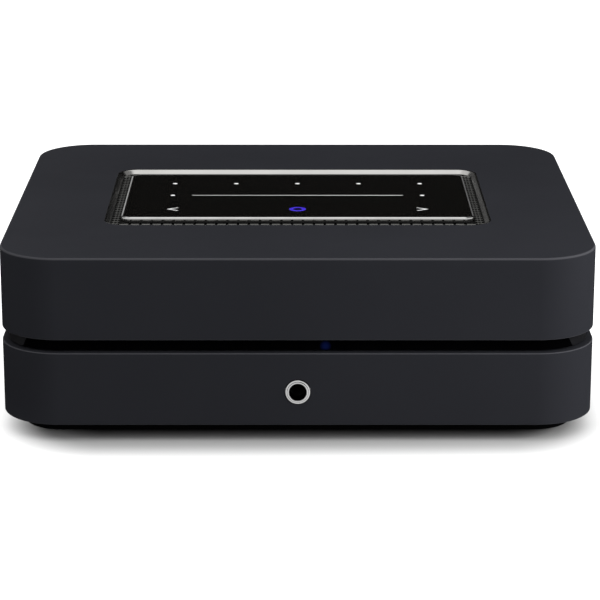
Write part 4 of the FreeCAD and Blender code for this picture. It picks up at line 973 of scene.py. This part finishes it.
class AMPLIFIER_OT_sockets(bpy.types.Operator):
    """Build the small rear sockets' metal: phono sleeve and network contacts"""
    bl_idname = "amplifier.rear_sockets"
    bl_label = "Rear sockets"

    def execute(self, context):
        size = context.scene.amplifier_sockets
        centre = middle("phono_sleeve") * (1, 0, 1)
        start, end = span("phono_sleeve", 1)
        inner = size.phono - size.phono_wall
        profile = arcs([(inner, start), (size.phono, start), (size.phono, end), (inner, end)],
                       mm(0.05, 0.05, 0.25, 0.2), steps=5)
        shell = piece("phono_shell", skin(turned(profile, centre, "y")))
        dress(shell, "gold", "contact_metal", "phono_sleeve")

        count, pitch, length = 8, 1.02 * MM, 9.0 * MM
        level = span("network_socket", 2)[0] + 11.0 * MM
        front = span("network_socket", 1)[1] - 2.5 * MM
        shells = []
        for x in middle("network_socket")[0] + spaced((count + 0.5) * pitch, pitch):
            outline = box_outline(x, level, *mm(0.18, 0.35, 0.08), steps=3)
            shells.append(prism(outline, front - length, front, "y"))
        dress(piece("network_contacts", *shells), "gold", "contact_metal")
        return {"FINISHED"}


# Each lamp: name, power setting, width, depth, place and the point that it faces, in metres
LAMPS = (
    ("overhead softbox", "overhead", 1.6, 1.4, (0.1, -0.05, 0.95), (0, 0, 0)),
    ("overhead strip", "strip", 0.4, 1.0, (0, -0.15, 0.95), (0, -0.15, 0)),
    ("side softbox", "side", 0.25, 0.25, (0.33, -0.21, 0.12), (0.1, -0.1, 0.03)),
)
# Each card: name, its reach along x, y and z in metres, and how strongly it glows
CARDS = (
    ("card_over_right", (0.3, 2.0), (-1.5, 0.79), (1.0, 1.01), 0.3),
    ("card_behind_high", (-0.16, 1.6), (0.8, 0.81), (0.2, 1.2), 0.009),
    ("card_high_left", (-1.6, -0.16), (0.8, 0.81), (0.2, 1.2), 0.1),
    ("card_behind_low", (-0.1, 0.1), (0.8, 0.81), (0.001, 0.2), 0.02),
    ("card_low_left", (-0.2, -0.1), (0.8, 0.81), (0.001, 0.2), 0.12),
    ("card_far_left", (-1.6, -0.2), (0.8, 0.81), (0.001, 0.2), 0.5),
    ("card_low_right", (0.1, 0.2), (0.8, 0.81), (0.001, 0.2), 0.02),
    ("card_far_right", (0.2, 1.6), (0.8, 0.81), (0.001, 0.2), 0.2),
    ("card_floor_left", (-0.7, -0.115), (-0.3, 0.6), (0.0004, 0.0009), 0.005),
    ("card_floor_right", (0.115, 0.7), (-0.3, 0.6), (0.0004, 0.0009), 0.06),
)
# The camera's place in metres, and its pitch down, yaw to the right and roll in degrees
CAMERA_PLACE = (-1.9 * MM, -945.5 * MM, 299.1 * MM)
CAMERA_TURN = (16.181, 0.181, 0.054)


def mirrored_or_seen(tree):
    """One for camera, glossy and transmission rays, and nothing for diffuse ones."""
    path = tree.nodes.new("ShaderNodeLightPath")
    result = path.outputs["Is Camera Ray"]
    for kind in ("Is Glossy Ray", "Is Transmission Ray"):
        either = tree.nodes.new("ShaderNodeMath")
        either.operation = "MAXIMUM"
        tree.links.new(result, either.inputs[0])
        tree.links.new(path.outputs[kind], either.inputs[1])
        result = either.outputs["Value"]
    return result


def stand(name, data, right, up, back, place):
    """A lamp or camera at its place, whose own x, y and z point right, up and back."""
    thing = bpy.data.objects.new(name, data)
    bpy.context.scene.collection.objects.link(thing)
    matrix = Matrix.Identity(4)
    for row in range(3):
        matrix[row] = (right[row], up[row], back[row], place[row])
    thing.matrix_world = matrix
    return thing


class AMPLIFIER_OT_stage(bpy.types.Operator):
    """Set up the floor, cards, soft lamps, world and the camera"""
    bl_idname = "amplifier.stage"
    bl_label = "Stage"

    def execute(self, context):
        settings = context.scene.amplifier_stage
        scene = context.scene
        scene.view_settings.view_transform = "Standard"
        self.floor(settings, scene.amplifier_casing.corner)
        self.cards()
        self.lamps(settings)
        self.world(scene)
        self.camera(scene, settings)
        return {"FINISHED"}

    def floor(self, settings, corner):
        """A flat plane that turns white by its own glow away from the part, and keeps a painted shadow
        round it.

        A point's distance from the part is that of a rounded rectangle: the length of what |x| and |y|
        exceed the middles of the corner arcs by, less the corner radius. The floor's colour is darker under
        the part as a painted shadow, the glow fades in round the part so that this shadow fades out, and
        diffuse rays see all of it darker still.
        """
        reach, bounce_share = 6.0, 0.12
        shadow_tone, shadow_start, shadow_end = 0.1, corner - 14 * MM, corner - 2 * MM
        square = [(-reach, -reach), (reach, -reach), (reach, reach), (-reach, reach)]
        plane = piece("floor", prism(square, -0.01, 0.0), flat=True)
        floor = Finish("studio floor", 0.9, 0.0, 0.0)
        heart = middle("base_shell") + (settings.shift, 0, 0)
        arc = (half("base_shell", 0) - settings.narrower - corner, half("base_shell", 1) - corner, 0)
        away = floor.place
        for step in (("SUBTRACT", heart), ("ABSOLUTE",), ("SUBTRACT", arc), ("MAXIMUM", (0, 0, 0)),
                     ("MULTIPLY", (1, 1, 0)), ("LENGTH",)):
            away = floor.maths(step[0], away, *step[1:], kind="VectorMath")
        # lit lets the glow fade in round the part, which shapes the painted shadow's fade
        lit = floor.spread(away, 0.0, 1.0, corner, corner + settings.fade, "SMOOTHSTEP")
        # under is the painted shadow: the floor's colour darker under the part
        under = floor.spread(away, shadow_tone, 1.0, shadow_start, shadow_end)
        seen = mirrored_or_seen(floor.tree)
        shadow_and_bounce = floor.maths("MULTIPLY", under, floor.spread(seen, bounce_share, 1.0, 0.0, 1.0))
        floor.colour(floor.mix(shadow_and_bounce, (0.0, 0.0, 0.0), settings.floor))
        floor.glow((1, 1, 1), floor.maths("MULTIPLY", lit, seen))
        plane.data.materials.append(floor.material)

    def cards(self):
        """Cards that only mirrors see, each with its own even glow: the dark and lighter surroundings."""
        for name, (x0, x1), (y0, y1), level, tone in CARDS:
            card = piece(name, prism([(x0, y0), (x1, y0), (x1, y1), (x0, y1)], *level), flat=True)
            finish = Finish(name, specular=0.0).colour((0, 0, 0)).glow((1, 1, 1), tone)
            card.data.materials.append(finish.material)
            card.visible_camera = card.visible_diffuse = card.visible_shadow = False

    def lamps(self, settings):
        """A softbox over the part, one at the front right, and a strip overhead for the gloss."""
        for name, power, width, depth, place, aim in LAMPS:
            lamp = bpy.data.lights.new(name, "AREA")
            lamp.shape = "RECTANGLE"
            lamp.size = width
            lamp.size_y = depth
            lamp.energy = getattr(settings, power)
            back = np.subtract(place, aim) / np.linalg.norm(np.subtract(place, aim))
            right = np.cross((0, 0, 1), back)
            size = np.linalg.norm(right)
            right = right / size if size > 1e-6 else np.array((1.0, 0, 0))
            thing = stand(name, lamp, right, np.cross(back, right), back, place)
            thing.visible_glossy = power == "strip"
            thing.visible_diffuse = power != "strip"

    def world(self, scene):
        """Soft even light; the camera and mirrors see plain white."""
        diffuse_level, seen_level = 1.2, 1.0
        world = bpy.data.worlds.new("studio")
        scene.world = world
        world.use_nodes = True
        tree = world.node_tree
        background = tree.nodes["Background"]
        background.inputs["Color"].default_value = (1, 1, 1, 1)
        level = tree.nodes.new("ShaderNodeMapRange")
        level.inputs["To Min"].default_value = diffuse_level
        level.inputs["To Max"].default_value = seen_level
        tree.links.new(mirrored_or_seen(tree), level.inputs["Value"])
        tree.links.new(level.outputs["Result"], background.inputs["Strength"])

    def camera(self, scene, settings):
        """The photograph's viewing angle: ahead is the y axis turned by the yaw, then tipped down."""
        pitch, yaw, roll = np.radians(CAMERA_TURN)
        level = np.array([math.cos(yaw), -math.sin(yaw), 0.0])
        ahead = np.array([math.sin(yaw), math.cos(yaw), 0.0]) * math.cos(pitch) - (0, 0, math.sin(pitch))
        upright = np.cross(level, ahead)
        right = math.cos(roll) * level + math.sin(roll) * upright
        up = math.cos(roll) * upright - math.sin(roll) * level
        camera = bpy.data.cameras.new("camera")
        camera.lens = settings.lens
        camera.sensor_width = 36.0
        scene.camera = stand("camera", camera, right, up, -ahead, CAMERA_PLACE)


OPERATORS = (AMPLIFIER_OT_finishes, AMPLIFIER_OT_casings, AMPLIFIER_OT_recess, AMPLIFIER_OT_panel,
             AMPLIFIER_OT_headphone, AMPLIFIER_OT_feet, AMPLIFIER_OT_terminals, AMPLIFIER_OT_sockets,
             AMPLIFIER_OT_stage)
GROUPS = {"amplifier_casing": CasingSizes, "amplifier_top": TopSizes, "amplifier_sockets": SocketSizes,
          "amplifier_colours": Colours, "amplifier_stage": StageSettings}


class AMPLIFIER_PT_panel(bpy.types.Panel):
    """Lists the part's sizes, colours and build steps"""
    bl_idname = "AMPLIFIER_PT_panel"
    bl_label = "Streaming amplifier"
    bl_space_type = "VIEW_3D"
    bl_region_type = "UI"
    bl_category = "Amplifier"

    def draw(self, context):
        for operator in OPERATORS:
            self.layout.operator(operator.bl_idname, text=operator.bl_label)
        for name, group in GROUPS.items():
            box = self.layout.box()
            box.label(text=group.__name__)
            for key in group.__annotations__:
                box.prop(getattr(context.scene, name), key)


def register():
    """Adds the classes, and hangs each group of settings on the scene."""
    for entry in (*GROUPS.values(), *OPERATORS, AMPLIFIER_PT_panel):
        bpy.utils.register_class(entry)
    for name, group in GROUPS.items():
        setattr(bpy.types.Scene, name, PointerProperty(type=group))


def unregister():
    """Takes back what register adds."""
    for name in GROUPS:
        delattr(bpy.types.Scene, name)
    for entry in (AMPLIFIER_PT_panel, *reversed(OPERATORS), *reversed(tuple(GROUPS.values()))):
        bpy.utils.unregister_class(entry)


def main():
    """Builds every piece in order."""
    register()
    for operator in OPERATORS:
        group, name = operator.bl_idname.split(".")
        if getattr(getattr(bpy.ops, group), name)() != {"FINISHED"}:
            raise RuntimeError(operator.bl_label + " didn't finish")


if __name__ == "__main__":
    main()
